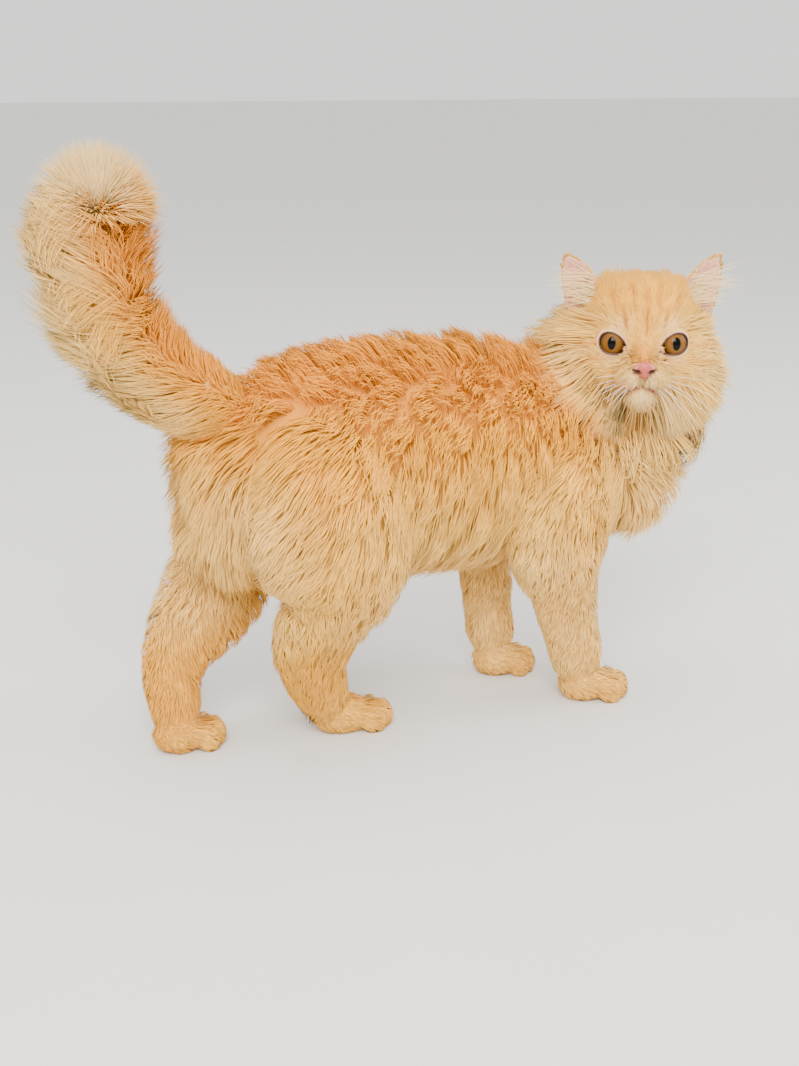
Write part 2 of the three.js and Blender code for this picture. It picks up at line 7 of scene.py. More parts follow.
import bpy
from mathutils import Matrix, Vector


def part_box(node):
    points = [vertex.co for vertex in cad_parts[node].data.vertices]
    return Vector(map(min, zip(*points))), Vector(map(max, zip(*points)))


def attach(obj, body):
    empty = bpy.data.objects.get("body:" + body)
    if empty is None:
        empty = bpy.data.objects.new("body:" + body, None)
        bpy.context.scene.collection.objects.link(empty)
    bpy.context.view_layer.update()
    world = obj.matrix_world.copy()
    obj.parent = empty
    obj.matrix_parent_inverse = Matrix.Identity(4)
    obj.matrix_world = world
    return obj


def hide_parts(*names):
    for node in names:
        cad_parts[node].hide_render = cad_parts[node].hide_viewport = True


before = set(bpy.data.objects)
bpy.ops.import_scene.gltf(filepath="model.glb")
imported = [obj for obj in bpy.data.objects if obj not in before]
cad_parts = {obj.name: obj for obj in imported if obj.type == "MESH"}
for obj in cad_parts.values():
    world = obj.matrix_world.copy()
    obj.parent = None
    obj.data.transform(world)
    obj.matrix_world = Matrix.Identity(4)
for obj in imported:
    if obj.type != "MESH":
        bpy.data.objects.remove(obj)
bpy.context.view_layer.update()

import math

import bpy
import numpy as np
from mathutils import Matrix, Vector

# The skin under the coat. On the real cat it is pale pink and hardly shows. Each part of the body
# is a ball drawn out over its stations, and the parts are joined and run together into one skin.
# The head's stands apart at first, because its skin is finer.
MM = 0.001
HEAD_YAW = -122
HEAD_PITCH = 6
HEAD_AT = np.array([163, -37, 262])
EYE_AT = np.array([22, 20.8, 1.5])
EYE_RADIUS = 10.8
EYE_OUTWARD = 8
LID_THICK = 1.5
SKIN_SUNK = 0.78


def leading_axes(yaw, pitch=0.0):
    """Forward, left and up, as rows, of something that points at a yaw and a pitch in degrees."""
    yaw, pitch = math.radians(yaw), math.radians(pitch)
    forward = [math.cos(yaw) * math.cos(pitch), math.sin(yaw) * math.cos(pitch), math.sin(pitch)]
    left = [-math.sin(yaw), math.cos(yaw), 0.0]
    return np.array([forward, left, np.cross(forward, left)])


HEAD_AXES = leading_axes(HEAD_YAW, HEAD_PITCH)
eye_low, eye_high = (np.array(corner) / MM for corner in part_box("eye_left"))
SHIFT = (eye_low + eye_high) / 2 - (HEAD_AT + EYE_AT @ HEAD_AXES)


def from_head(places):
    """Places as seen from the middle of the head: forward, left and up."""
    return (places - HEAD_AT) @ HEAD_AXES.T


def by_head(places):
    """Places that are given forward, left and up from the middle of the head."""
    return HEAD_AT + np.asarray(places) @ HEAD_AXES


def unit(vectors):
    """Each row at length one."""
    return vectors / np.maximum(np.linalg.norm(vectors, axis=-1, keepdims=True), 1e-9)


class Limb:
    """A form along a bent line, out to the tips of its coat.

    Each station is x, y, z, half width, half height and depth of coat. ahead is the direction
    that the half height is measured in, and a pear share makes the lower side the wider one.
    """

    def __init__(self, stations, ahead, pear=0.0, bare=(0.0, 0.0)):
        rows = np.array(stations, float)
        ends = np.vstack([2 * rows[0] - rows[1], rows, 2 * rows[-1] - rows[-2]])
        t = np.linspace(0, 1, 24, endpoint=False)[:, None]
        dense = []
        for a, b, c, d in zip(ends, ends[1:], ends[2:], ends[3:]):
            bend, twist = 2 * a - 5 * b + 4 * c - d, 3 * b - a - 3 * c + d
            dense.append((2 * b + (c - a) * t + bend * t**2 + twist * t**3) / 2)
        rows = np.vstack(dense + [rows[-1:]])
        gaps = np.linalg.norm(np.diff(rows[:, :3], axis=0), axis=1)
        self.at = np.concatenate([[0], np.cumsum(gaps)])
        self.at /= self.at[-1]
        along = unit(np.gradient(rows[:, :3], axis=0))
        side = unit(np.cross(ahead, along))
        self.table = np.hstack([rows, along, side, np.cross(along, side)])
        self.pear, self.bare = pear, bare

    def pick(self, share):
        """The line's centre, sizes and axes at each share of its length."""
        held = np.clip(share, 0, 1)
        row = np.stack([np.interp(held, self.at, column) for column in self.table.T], -1)
        return row[..., :3], row[..., 3:6], unit(row[..., 6:9]), unit(row[..., 9:12]), unit(row[..., 12:15])

    def surface(self, share, angle, sunk=0.0):
        """Points of the surface, sunk by a share of the coat's depth."""
        centre, size, _, side, top = self.pick(share)
        inward = -np.asarray(sunk) * size[..., 2]
        wide = (size[..., 0] + inward) * (1 - self.pear * np.sin(angle))
        high = size[..., 1] + inward
        return centre + side * (wide * np.cos(angle))[..., None] + top * (high * np.sin(angle))[..., None]

    def outward(self, share, angle):
        """The way out of the coat at each place."""
        step = 0.004
        _, _, _, side, top = self.pick(share)
        before, after = np.clip(share - step, 0, 1), np.clip(share + step, 0, 1)
        ahead = self.surface(after, angle) - self.surface(before, angle)
        across = self.surface(share, angle + step) - self.surface(share, angle)
        out = unit(np.cross(ahead, across))
        radial = side * np.cos(angle)[..., None] + top * np.sin(angle)[..., None]
        return out * np.where((out * radial).sum(-1, keepdims=True) < 0, -1, 1)

    def holds(self, points, sunk):
        """Which points lie inside the form."""
        few, past_end = 60, 8
        line = self.table[:: max(1, len(self.table) // few)]
        row = line[np.argmin(((points[:, None] - line[None, :, :3]) ** 2).sum(-1), 1)]
        away = points - row[:, :3]
        along, across, up = ((away * row[:, i : i + 3]).sum(1) for i in (6, 9, 12))
        size = np.maximum(row[:, 3:5] - sunk * row[:, 5:6], 1)
        return ((across / size[:, 0]) ** 2 + (up / size[:, 1]) ** 2 < 1) & (np.abs(along) < past_end)


class Lump:
    """A rounded form round ellipsoids that run into one another.

    Each swelling is its middle and its half sizes, in the form's own axes. Its surface is read
    along lines from its centre: share is the angle from the forward axis, as a share of a half turn.
    """

    SUNK = np.linspace(-0.9, 1.1, 6)
    FAR = 116.0

    def __init__(self, centre, axes, swellings, blend, depth=0.0, floor=None, balls=()):
        self.centre, self.axes = np.array(centre, float), axes
        self.middles = np.array([middle for middle, _ in swellings], float)
        self.sizes = np.array([size for _, size in swellings], float)
        self.blend, self.depth, self.floor, self.balls = blend, depth, floor, balls
        self.table = None

    def filled(self, places, inward):
        """Over 0 inside the form."""
        away = (places[:, None] - self.middles) / (self.sizes - inward[:, None, None])
        return np.exp(-self.blend * ((away**2).sum(-1) - 1)).sum(1) - 1

    def reach(self, direction, inward):
        """How far the surface lies from the centre along each direction."""
        outside = np.full(len(direction), self.FAR)
        step = 4.0
        waiting = np.ones(len(direction), bool)
        while waiting.any() and outside[waiting].max() > step:
            rows = np.flatnonzero(waiting)
            tried = direction[rows] * (outside[rows] - step)[:, None]
            empty = self.filled(tried, inward[rows]) < 0
            outside[rows[empty]] -= step
            waiting[rows[~empty]] = False
            waiting &= outside > step
        inside = outside - step
        for _ in range(12):
            middle = (inside + outside) / 2
            empty = self.filled(direction * middle[:, None], inward) < 0
            outside = np.where(empty, middle, outside)
            inside = np.where(empty, inside, middle)
        for centre, radius in self.balls:
            along = (centre * direction).sum(1)
            room = (radius - inward) ** 2 - (centre**2).sum() + along**2
            inside = np.maximum(inside, np.where(room > 0, along + np.sqrt(np.maximum(room, 0)), 0))
        return inside

    def ways(self, polar, turn):
        """Directions in the form's own axes, from angles off its forward axis and round it."""
        return np.stack([np.cos(polar), np.sin(polar) * np.cos(turn), np.sin(polar) * np.sin(turn)], -1)

    def chart(self):
        """How far the surface lies from the centre, over shares, angles and depths."""
        shares, angles = np.linspace(0, 1, 97), np.linspace(0, 2 * np.pi, 145)
        polar, turn = np.meshgrid(np.pi * shares, angles, indexing="ij")
        flat = self.ways(polar, turn).reshape(-1, 3)
        layers = [self.reach(flat, np.full(len(flat), sunk * self.depth)) for sunk in self.SUNK]
        return np.stack(layers).reshape(len(self.SUNK), *polar.shape)

    def surface(self, share, angle, sunk=0.0):
        """Points of the surface, sunk by a share of the coat's depth."""
        if self.table is None:
            self.table = self.chart()
        share, angle, sunk = np.broadcast_arrays(share, angle, sunk)
        share = np.clip(share, 0, 1)
        _, rows, columns = self.table.shape
        least, most = self.SUNK[0], self.SUNK[-1]
        spots = (
            (np.clip(sunk, least, most) - least) / (self.SUNK[1] - least),
            share * (rows - 1),
            (angle % (2 * np.pi)) / (2 * np.pi) * (columns - 1),
        )
        low = [np.minimum(spot.astype(int), size - 2) for spot, size in zip(spots, self.table.shape)]
        part = [spot - start for spot, start in zip(spots, low)]
        far = 0
        for corner in np.ndindex(2, 2, 2):
            weight = 1
            for axis, way in enumerate(corner):
                weight = weight * (part[axis] if way else 1 - part[axis])
            far = far + weight * self.table[tuple(start + way for start, way in zip(low, corner))]
        points = self.centre + (self.ways(np.pi * share, angle) * far[..., None]) @ self.axes
        if self.floor is not None:
            points[..., 2] = np.maximum(points[..., 2], self.floor)
        return points

    def outward(self, share, angle):
        """The way out of the coat at each place."""
        step = 0.01
        here = self.surface(share, angle)
        ahead = self.surface(share + step, angle) - here
        across = self.surface(share, angle + step * 3) - here
        out = unit(np.cross(ahead, across))
        return out * np.sign(((here - self.centre) * out).sum(-1, keepdims=True))

    def holds(self, points, sunk):
        """Which points lie inside the form."""
        places = (points - self.centre) @ self.axes.T
        return self.filled(places, np.full(len(points), sunk * self.depth)) > 0


def both(middle, size):
    """The same swelling on the left and on the right."""
    forward, left, up = middle
    return [((forward, left, up), size), ((forward, -left, up), size)]


UP = (0, 0, 1)
AHEAD = (1, 0, 0)
torso = Limb(
    [
        (-156, 14, 196, 12, 20, 8),
        (-150, 13, 196, 38, 48, 18),
        (-132, 12, 192, 58, 68, 24),
        (-102, 9, 190, 69, 80, 26),
        (-58, 6, 191, 75, 87, 26),
        (-10, 2, 192, 77, 87, 26),
        (40, -2, 190, 76, 87, 26),
        (84, -7, 184, 71, 81, 26),
        (118, -14, 175, 63, 67, 24),
        (148, -23, 167, 53, 51, 22),
        (172, -31, 160, 41, 37, 20),
        (187, -36, 157, 24, 24, 14),
        (194, -38, 155, 8, 9, 6),
    ],
    UP,
    pear=0.06,
    bare=(0.03, 0.05),
)
tail = Limb(
    [
        (-128, 3, 230, 14, 16, 4),
        (-150, 1, 243, 24, 28, 12),
        (-174, 0, 259, 26, 31, 20),
        (-196, -2, 283, 27, 33, 24),
        (-212, -4, 311, 30, 37, 27),
        (-218, -6, 340, 32, 41, 31),
        (-219, -9, 368, 33, 42, 33),
        (-219, -11, 388, 29, 36, 30),
        (-219, -12, 402, 20, 24, 20),
        (-219, -13, 409, 9, 11, 9),
    ],
    AHEAD,
    bare=(0, 0.09),
)
HEAD_COAT = 2.6
head_swellings = [
    ((-8, 0, 8), (42, 44, 40)),
    ((6, 0, 24), (26, 34, 22)),
    *both((2, 27, -15), (26, 25, 25)),
    *both((30, 9.5, -22), (13, 11.5, 10.5)),
    ((26, 0, -5), (16, 9, 15)),
    ((23, 0, -37), (14, 13, 9)),
    ((6, 0, -28), (26, 28, 17)),
]
SIDES = {"left": 1, "right": -1}
lid_balls = [(EYE_AT * (1, side, 1), EYE_RADIUS + LID_THICK) for side in SIDES.values()]
head = Lump(HEAD_AT, HEAD_AXES, head_swellings, 5, HEAD_COAT, balls=lid_balls)
neck = Lump(
    (162, -18, 229),
    HEAD_AXES,
    [
        ((-6, 4, 0), (42, 72, 54)),
        *both((-8, 44, 24), (34, 36, 36)),
        ((-6, -36, -6), (40, 46, 46)),
        ((13, 8, -38), (38, 54, 40)),
    ],
    3.5,
    30,
)
LEGS = {
    "foreleg_right": {
        "upper": [
            (98, -28, 206, 14, 20, 4),
            (94, -42, 188, 27, 42, 10),
            (90, -50, 160, 29, 50, 12),
            (88, -53, 130, 27, 43, 12),
            (92, -52, 106, 24, 34, 10),
            (97, -51, 92, 15, 20, 6),
        ],
        "lower": [
            (90, -51, 118, 14, 20, 4),
            (94, -51, 102, 22, 30, 8),
            (99, -49, 80, 20, 26, 7),
            (106, -48, 55, 18, 22.5, 5),
            (112, -47, 35, 17.5, 21, 4),
            (116, -47, 20, 12, 14, 3),
        ],
        "paw": ((124, -49, 13), -28, 27, 20, 14.5),
    },
    "foreleg_left": {
        "upper": [
            (94, 18, 202, 14, 20, 4),
            (92, 31, 185, 26, 40, 10),
            (88, 39, 155, 28, 45, 12),
            (83, 41, 125, 25, 37, 12),
            (82, 39, 102, 21, 29, 10),
            (83, 37, 90, 13, 18, 6),
        ],
        "lower": [
            (83, 39, 112, 13, 18, 4),
            (82, 37, 98, 20, 26, 8),
            (82, 33, 72, 18, 22, 7),
            (82, 30, 48, 17, 20.5, 5),
            (84, 28, 32, 16.5, 20, 4),
            (86, 27, 18, 11, 13, 3),
        ],
        "paw": ((90, 22, 13), -22, 25, 19, 14.5),
    },
    "hindleg_right": {
        "upper": [
            (-104, -22, 224, 18, 22, 4),
            (-99, -40, 206, 33, 46, 12),
            (-93, -50, 175, 36, 58, 14),
            (-86, -54, 145, 34, 56, 14),
            (-84, -52, 122, 30, 47, 13),
            (-88, -47, 102, 22, 32, 12),
            (-91, -42, 90, 12, 16, 6),
        ],
        "lower": [
            (-84, -51, 122, 13, 18, 5),
            (-88, -45, 106, 25, 36, 11),
            (-92, -36, 88, 24, 35, 10),
            (-93, -28, 71, 21, 30, 8),
            (-90, -21, 54, 19, 24, 6),
            (-83, -15, 38, 18, 22, 5),
            (-76, -12, 24, 15, 17, 4),
            (-73, -11, 16, 8, 9, 3),
        ],
        "paw": ((-59, -13, 13), -13, 30, 20, 14),
    },
    "hindleg_left": {
        "upper": [
            (-112, 20, 216, 18, 24, 4),
            (-110, 34, 196, 33, 42, 12),
            (-112, 44, 166, 35, 46, 14),
            (-119, 48, 138, 32, 46, 16),
            (-129, 47, 114, 28, 38, 14),
            (-140, 43, 96, 16, 20, 8),
        ],
        "lower": [
            (-116, 48, 128, 13, 18, 5),
            (-128, 46, 110, 26, 40, 13),
            (-148, 39, 88, 25, 38, 14),
            (-167, 31, 68, 20, 29, 9),
            (-176, 25, 50, 17.5, 22, 6),
            (-177, 20, 34, 17, 20, 5),
            (-177, 16, 22, 14, 16, 4),
            (-177, 14, 14, 8, 9, 3),
        ],
        "paw": ((-172, 12, 13), -7, 26, 20, 14),
    },
}
PAW_COAT = 2.2


def paw_form(at, yaw, long, wide, high):
    """The back of a paw and its four toes."""
    swellings = [((-0.2 * long, 0, -0.1 * high), (0.72 * long, 0.84 * wide, 1.08 * high))]
    for forward, left in ((0.52, 0.6), (0.74, 0.21), (0.74, -0.21), (0.52, -0.6)):
        middle = (forward * long, left * wide, -0.3 * high)
        swellings.append((middle, (0.32 * long, 0.27 * wide, 0.78 * high)))
    return Lump(at, leading_axes(yaw), swellings, 5, PAW_COAT, floor=0.3)


forms = {"torso": torso, "neck": neck, "head": head, "tail": tail}
for leg_name, leg in LEGS.items():
    forms[leg_name + "_upper"] = Limb(leg["upper"], AHEAD)
    forms[leg_name + "_lower"] = Limb(leg["lower"], AHEAD)
    forms[leg_name + "_paw"] = paw_form(*leg["paw"])
BOX_ROOM = 2
for form in forms.values():
    outline = form.surface(*np.meshgrid(np.linspace(0, 1, 30), np.linspace(0, 6.28, 30)))
    form.box = outline.min((0, 1)) - BOX_ROOM, outline.max((0, 1)) + BOX_ROOM


def only(*pieces):
    """Selects these objects and nothing else, with the first as the active one."""
    bpy.ops.object.select_all(action="DESELECT")
    for piece in pieces:
        piece.select_set(True)
    bpy.context.view_layer.objects.active = pieces[0]


def joined(pieces):
    """Several pieces as one object."""
    only(*pieces)
    bpy.ops.object.join()
    return bpy.context.object


def finished(piece, name):
    """Names a piece and lays its place, turn and size down into its mesh."""
    only(piece)
    bpy.ops.object.transform_apply(location=True, rotation=True, scale=True)
    piece.name = piece.data.name = name
    return piece


def set_points(piece, points):
    """Moves a mesh's points, given in millimetres before the shift to the part's frame."""
    placed = (np.asarray(points) + SHIFT) * MM
    piece.data.vertices.foreach_set("co", placed.astype(np.float32).ravel())
    piece.data.update()


def points_of(piece):
    """A mesh's points as an array."""
    flat = np.empty(len(piece.data.vertices) * 3, np.float32)
    piece.data.vertices.foreach_get("co", flat)
    return flat.reshape(-1, 3).astype(float)


def unit_ball(segments, rings):
    """A ball of radius 1 and its points, with its poles up and down."""
    bpy.ops.object.select_all(action="DESELECT")
    bpy.ops.mesh.primitive_uv_sphere_add(segments=segments, ring_count=rings, radius=1)
    return bpy.context.object, points_of(bpy.context.object)


END_COAT = 5
CAP_BLUNT = 0.4
CAP_LEAST = 0.5
END_GAP = 0.01


def drawn_over(form, segments, rings, sunk):
    """A ball whose rings are drawn out over a form, with blunt caps that keep inside the coat."""
    ball, at = unit_ball(segments, rings)
    polar = np.arccos(np.clip(at[:, 2], -1, 1)) / np.pi
    angle = np.arctan2(at[:, 1], at[:, 0])
    if isinstance(form, Lump):
        set_points(ball, form.surface(polar, angle, sunk))
        return ball
    low, high = form.bare[0] + END_GAP, 1 - form.bare[1] - END_GAP
    first = 1 / rings
    share = low + (high - low) * np.clip((polar - first) / (1 - 2 * first), 0, 1)
    points = form.surface(share, angle, sunk)
    poles = ((polar < first / 2, low, 0.0, -1), (polar > 1 - first / 2, high, 1.0, 1))
    for pole, share_at, end_at, way in poles:
        centre, size, along, _, _ = form.pick(np.array([share_at]))
        end = form.pick(np.array([end_at]))[0]
        room = np.maximum(np.linalg.norm(end - centre, axis=1) - END_COAT, CAP_LEAST)
        cap = way * np.clip(CAP_BLUNT * (size[:, 0] - sunk * size[:, 2]), CAP_LEAST, room)
        points[pole] = centre + along * cap[:, None]
    set_points(ball, points)
    return ball


def run_together(piece, voxel, rounds):
    """Makes a piece one surface of small even faces, voxel millimetres across, and smooths it."""
    only(piece)
    remesh = piece.modifiers.new("one_surface", "REMESH")
    remesh.mode = "VOXEL"
    remesh.voxel_size = voxel * MM
    soften = piece.modifiers.new("softer", "SMOOTH")
    soften.factor = 0.5
    soften.iterations = rounds
    for modifier in ("one_surface", "softer"):
        bpy.ops.object.modifier_apply(modifier=modifier)


PAW_SUNK = 0.85
SKIN_VOXEL = 3
SKIN_ROUNDS = 6
body_parts = []
for name, form in forms.items():
    if name != "head":
        body_parts.append(drawn_over(form, 40, 40, PAW_SUNK if name.endswith("paw") else SKIN_SUNK))
skin = joined(body_parts)
run_together(skin, SKIN_VOXEL, SKIN_ROUNDS)

# The head's own skin is finer. The lids stand round the eyes, and the skin turns in behind them.
ALMOND_INNER = (-10.2, -4.6)
ALMOND_OUTER = (8.9, 1.2)
ALMOND_TOP = 10.3
ALMOND_BOTTOM = -9.6
FAR_OFF = 99.0


def bezier(a, b, c, d, count):
    """Points along a curve from a to d that leaves towards b and arrives from c."""
    t = np.linspace(0, 1, count, endpoint=False)[:, None]
    a, b, c, d = (np.array(p, float) for p in (a, b, c, d))
    return a * (1 - t) ** 3 + 3 * b * t * (1 - t) ** 2 + 3 * c * t**2 * (1 - t) + d * t**3


inner, outer = ALMOND_INNER, ALMOND_OUTER
almond = np.vstack(
    [
        bezier(inner, (inner[0] + 3, ALMOND_TOP), (outer[0], ALMOND_TOP), outer, 40),
        bezier(outer, (outer[0], ALMOND_BOTTOM), (inner[0] + 5, ALMOND_BOTTOM), inner, 40),
    ]
)


def eye_axes(side):
    """Forward, outward from the nose and up, as rows, of the eye on one side."""
    forward = leading_axes(HEAD_YAW + side * EYE_OUTWARD, HEAD_PITCH)[0]
    across = unit(np.cross(HEAD_AXES[2], forward)) * side
    return np.array([forward, across, np.cross(forward, across) * side])


def eye_centre(side):
    """The middle of the eyeball on one side."""
    return by_head(EYE_AT * (1, side, 1))


def from_almond(points, side):
    """How far points lie outside the opening between the lids, seen along the eye's gaze.

    Points inside it, in front of the middle of the eyeball, have a distance below 0.
    """
    forward, across, up = eye_axes(side)
    away = points - eye_centre(side)
    flat = np.stack([away @ across, away @ up], -1)
    start, end = almond, np.roll(almond, -1, 0)
    run = end - start
    inside = np.zeros(len(flat), bool)
    nearest = np.full(len(flat), np.inf)
    for (x0, y0), (x1, y1), (dx, dy) in zip(start, end, run):
        t = np.clip(((flat[:, 0] - x0) * dx + (flat[:, 1] - y0) * dy) / (dx * dx + dy * dy), 0, 1)
        gap = np.hypot(flat[:, 0] - x0 - t * dx, flat[:, 1] - y0 - t * dy)
        nearest = np.minimum(nearest, gap)
        if y0 != y1:
            crosses = (y0 > flat[:, 1]) != (y1 > flat[:, 1])
            inside ^= crosses & (flat[:, 0] < (x1 - x0) * (flat[:, 1] - y0) / (y1 - y0) + x0)
    behind = away @ forward < 0
    return np.where(behind, FAR_OFF, np.where(inside, -nearest, nearest))


EYE_BULGE = 0.05
LID_REACH = EYE_RADIUS * (1 + EYE_BULGE) + 0.5
LID_BAND = 9
LID_TURN = 0.9
BEHIND_BALL = 1.3
FACE_SUNK = 0.9
face = drawn_over(head, 224, 150, FACE_SUNK)
face_points = points_of(face) / MM - SHIFT
for side in SIDES.values():
    gap = from_almond(face_points, side)
    centre = eye_centre(side)
    way = unit(face_points - centre)
    deep = centre + way * (EYE_RADIUS - BEHIND_BALL)
    edge = centre + way * (EYE_RADIUS + 0.2)
    share = np.clip(-gap / LID_TURN, 0, 1)[:, None]
    pushed = edge * (1 - share) + deep * share
    face_points = np.where((gap < 0)[:, None], pushed, face_points)
    far = np.maximum(np.linalg.norm(face_points - centre, axis=1), LID_REACH)
    on_lid = (gap > 0) & (gap < LID_BAND)
    face_points = np.where(on_lid[:, None], centre + way * far[:, None], face_points)

# The mouth is a line under the two pads of the muzzle, and a groove runs up from it to the nose.
MOUTH_HALF = [(4.5, -29.0), (9, -31.6), (12.5, -33.5)]
MOUTH_LINE = [(-left, up) for left, up in MOUTH_HALF[::-1]] + [(0, -27.2)] + MOUTH_HALF
PHILTRUM = [(0, -21), (0, -24), (0, -27.4)]


def along_points(corners, step=0.4):
    """Evenly spaced points along a run of corners."""
    corners = np.array(corners, float)
    runs = []
    for a, b in zip(corners, corners[1:]):
        count = max(2, int(np.linalg.norm(b - a) / step))
        runs.append(a + (b - a) * np.linspace(0, 1, count, endpoint=False)[:, None])
    return np.vstack(runs + [corners[-1:]])


def from_line(points, corners):
    """How far points of the face lie from a line drawn on it, seen from in front."""
    seen = from_head(points)
    line = along_points(corners)
    gap = np.sqrt(((seen[:, None, 1:] - line[None]) ** 2).sum(-1)).min(1)
    in_front = 5
    return np.where(seen[:, 0] > in_front, gap, FAR_OFF)


GROOVE = 1.6
for corners in (MOUTH_LINE, PHILTRUM):
    sink = np.clip(1 - from_line(face_points, corners) / GROOVE, 0, 1) ** 0.7
    face_points -= HEAD_AXES[0] * (sink * GROOVE)[:, None]
set_points(face, face_points)

only(skin)
union = skin.modifiers.new("head_joined", "BOOLEAN")
union.operation = "UNION"
union.solver = "MANIFOLD"
union.object = face
bpy.ops.object.modifier_apply(modifier="head_joined")
bpy.data.objects.remove(face)
bpy.ops.object.shade_smooth()
skin = finished(skin, "skin")


def srgb(text):
    """A colour written as hex digits, as linear values."""
    shares = [int(text[i : i + 2], 16) / 255 for i in (1, 3, 5)]
    return np.array([s / 12.92 if s <= 0.04045 else ((s + 0.055) / 1.055) ** 2.4 for s in shares])


def node(tree, kind, sets=None, links=None):
    """Adds a node to a tree, with its settings and with links to its inputs."""
    made = tree.nodes.new(kind)
    for key, value in (sets or {}).items():
        if isinstance(key, str) and hasattr(made, key):
            setattr(made, key, value)
        else:
            made.inputs[key].default_value = value
    for key, source in (links or {}).items():
        tree.links.new(source, made.inputs[key])
    return made


def new_material(name):
    """An empty material with its tree and its output."""
    made = bpy.data.materials.new(name)
    made.use_nodes = True
    made.node_tree.nodes.clear()
    return made, made.node_tree, made.node_tree.nodes.new("ShaderNodeOutputMaterial")


def mottled(name, dark, light, scale, sets):
    """A material that wavers between two colours over space."""
    made, tree, out = new_material(name)
    place = node(tree, "ShaderNodeTexCoord")
    seen_at = {"Vector": place.outputs["Object"]}
    spots = node(tree, "ShaderNodeTexNoise", {"Scale": scale, "Detail": 3.0}, seen_at)
    between = {"Color1": (*srgb(dark), 1), "Color2": (*srgb(light), 1)}
    blend = node(tree, "ShaderNodeMixRGB", between, {"Fac": spots.outputs["Fac"]})
    surface = node(tree, "ShaderNodeBsdfPrincipled", sets, {"Base Color": blend.outputs["Color"]})
    tree.links.new(surface.outputs["BSDF"], out.inputs["Surface"])
    return made


# The coat's colours. The cat is an orange and cream tabby: honey on the back, cream below, on the
# ruff and on the plume, with a few faint stripes on the forehead and the cheeks.
HONEY = srgb("#EA9420")
GOLD = srgb("#F9AF2C")
SAND = srgb("#FFC65A")
CREAM = srgb("#FFD37C")
IVORY = srgb("#FFDC98")
RUST = srgb("#B8601C")


def step_up(value, low, high):
    """Goes smoothly from 0 at low to 1 at high."""
    t = np.clip((value - low) / (high - low), 0, 1)
    return t * t * (3 - 2 * t)


def towards(colour, other, share):
    """A colour moved towards another by a share."""
    share = np.clip(share, 0, 1)[:, None]
    return colour * (1 - share) + other * share


def patches(at, size, seed):
    """Soft, uneven values from -1 to 1 over space, about size across."""
    spread = np.random.default_rng(seed)
    total = np.zeros(len(at))
    for _ in range(6):
        way = unit(spread.normal(size=3)) * spread.uniform(0.7, 1.4) * 2 * np.pi / size
        total += np.sin(at @ way + spread.uniform(0, 6.28))
    return total / 3


def body_colour(at):
    """The colour of the body's coat at points of its surface, in millimetres."""
    x, _, z = at.T
    colour = np.repeat(SAND[None], len(at), 0)
    colour = towards(colour, GOLD, step_up(z, 150, 215))
    colour = towards(colour, HONEY, step_up(z, 215, 262) * step_up(-x, -150, -100))
    colour = towards(colour, CREAM, step_up(-z, -150, -105) * step_up(x, -110, -60) * 0.8)
    colour = towards(colour, CREAM, step_up(x, 95, 150) * 0.75)
    colour = towards(colour, CREAM, step_up(-x, 105, 140) * step_up(-z, -220, -160) * 0.6)
    colour = towards(colour, GOLD, step_up(-z, -95, -60) * step_up(-x, -30, 0) * 0.75)
    colour = towards(colour, SAND, step_up(-z, -30, -10) * 0.6)
    return towards(colour, HONEY, 0.16 + 0.18 * patches(at, 70, 3) + 0.1 * patches(at, 16, 4))


def tail_colour(at, share, angle):
    """The tail is honey along its bone and in front, pale behind and at its tip, with a painted shadow below
    its fan.
    """
    front = np.sin(angle)
    colour = np.repeat(CREAM[None], len(at), 0)
    colour = towards(colour, GOLD, step_up(front, -0.9, -0.2) * 0.85)
    colour = towards(colour, HONEY, step_up(front, -0.4, 0.5) * 0.9)
    colour = towards(colour, GOLD, step_up(-share, -0.2, -0.02) * 0.7)
    colour = towards(colour, HONEY, step_up(-share, -0.12, -0.01) * step_up(front, -0.6, 0.4))
    rump = towards(body_colour(at), GOLD, np.full(len(at), 0.6))
    colour = towards(colour, rump, step_up(-share, -0.28, -0.06) * 0.85)
    # Painted shadow in the fold behind the tail, just below the fan at its end.
    fold_shadow = step_up(share, 0.62, 0.76) * step_up(front, -0.95, -0.3)
    return towards(colour, RUST, fold_shadow * 0.45)


NOSE_TIP = (44, 0, -16)
NOSE_BARE = 7.5


def face_gaps(at):
    """How far roots lie from the eyes' openings and from the nose."""
    eyes = np.minimum(from_almond(at, 1), from_almond(at, -1))
    nose_gap = np.linalg.norm(at - by_head(NOSE_TIP), axis=1) - NOSE_BARE
    return eyes, nose_gap


# Places on the face are millimetres aside from its middle and up from the middle of the head. A
# stripe is its middle, half width, lower and upper end and strength, and a freckle has a radius.
PAD_ROWS = (-22.5, -25.5, -28.5)
CHEEK_LINES = ((2, 1.7), (-9, 2.0))
FRECKLES = (((9.5, -7.0), 0.8), ((12.2, -8.6), 0.6), ((8.0, -10.5), 0.6))
FRECKLE_BROWN = srgb("#5A3018")
FOREHEAD_STRIPES = (
    (-14, 1.4, 11, 27, 0.85),
    (-19, 2.2, 24, 40, 0.4),
    (-7, 1.6, 24, 46, 0.45),
    (1.5, 1.2, 6, 30, 0.75),
    (1, 2.2, 28, 46, 0.4),
    (9, 1.6, 24, 46, 0.45),
    (15, 1.4, 11, 27, 0.85),
    (21, 2.2, 24, 40, 0.4),
)


def blot(aside, up, middle, size):
    """A soft round patch on the face, 1 at its middle."""
    return np.exp(-(((aside - middle[0]) / size[0]) ** 2 + ((up - middle[1]) / size[1]) ** 2))


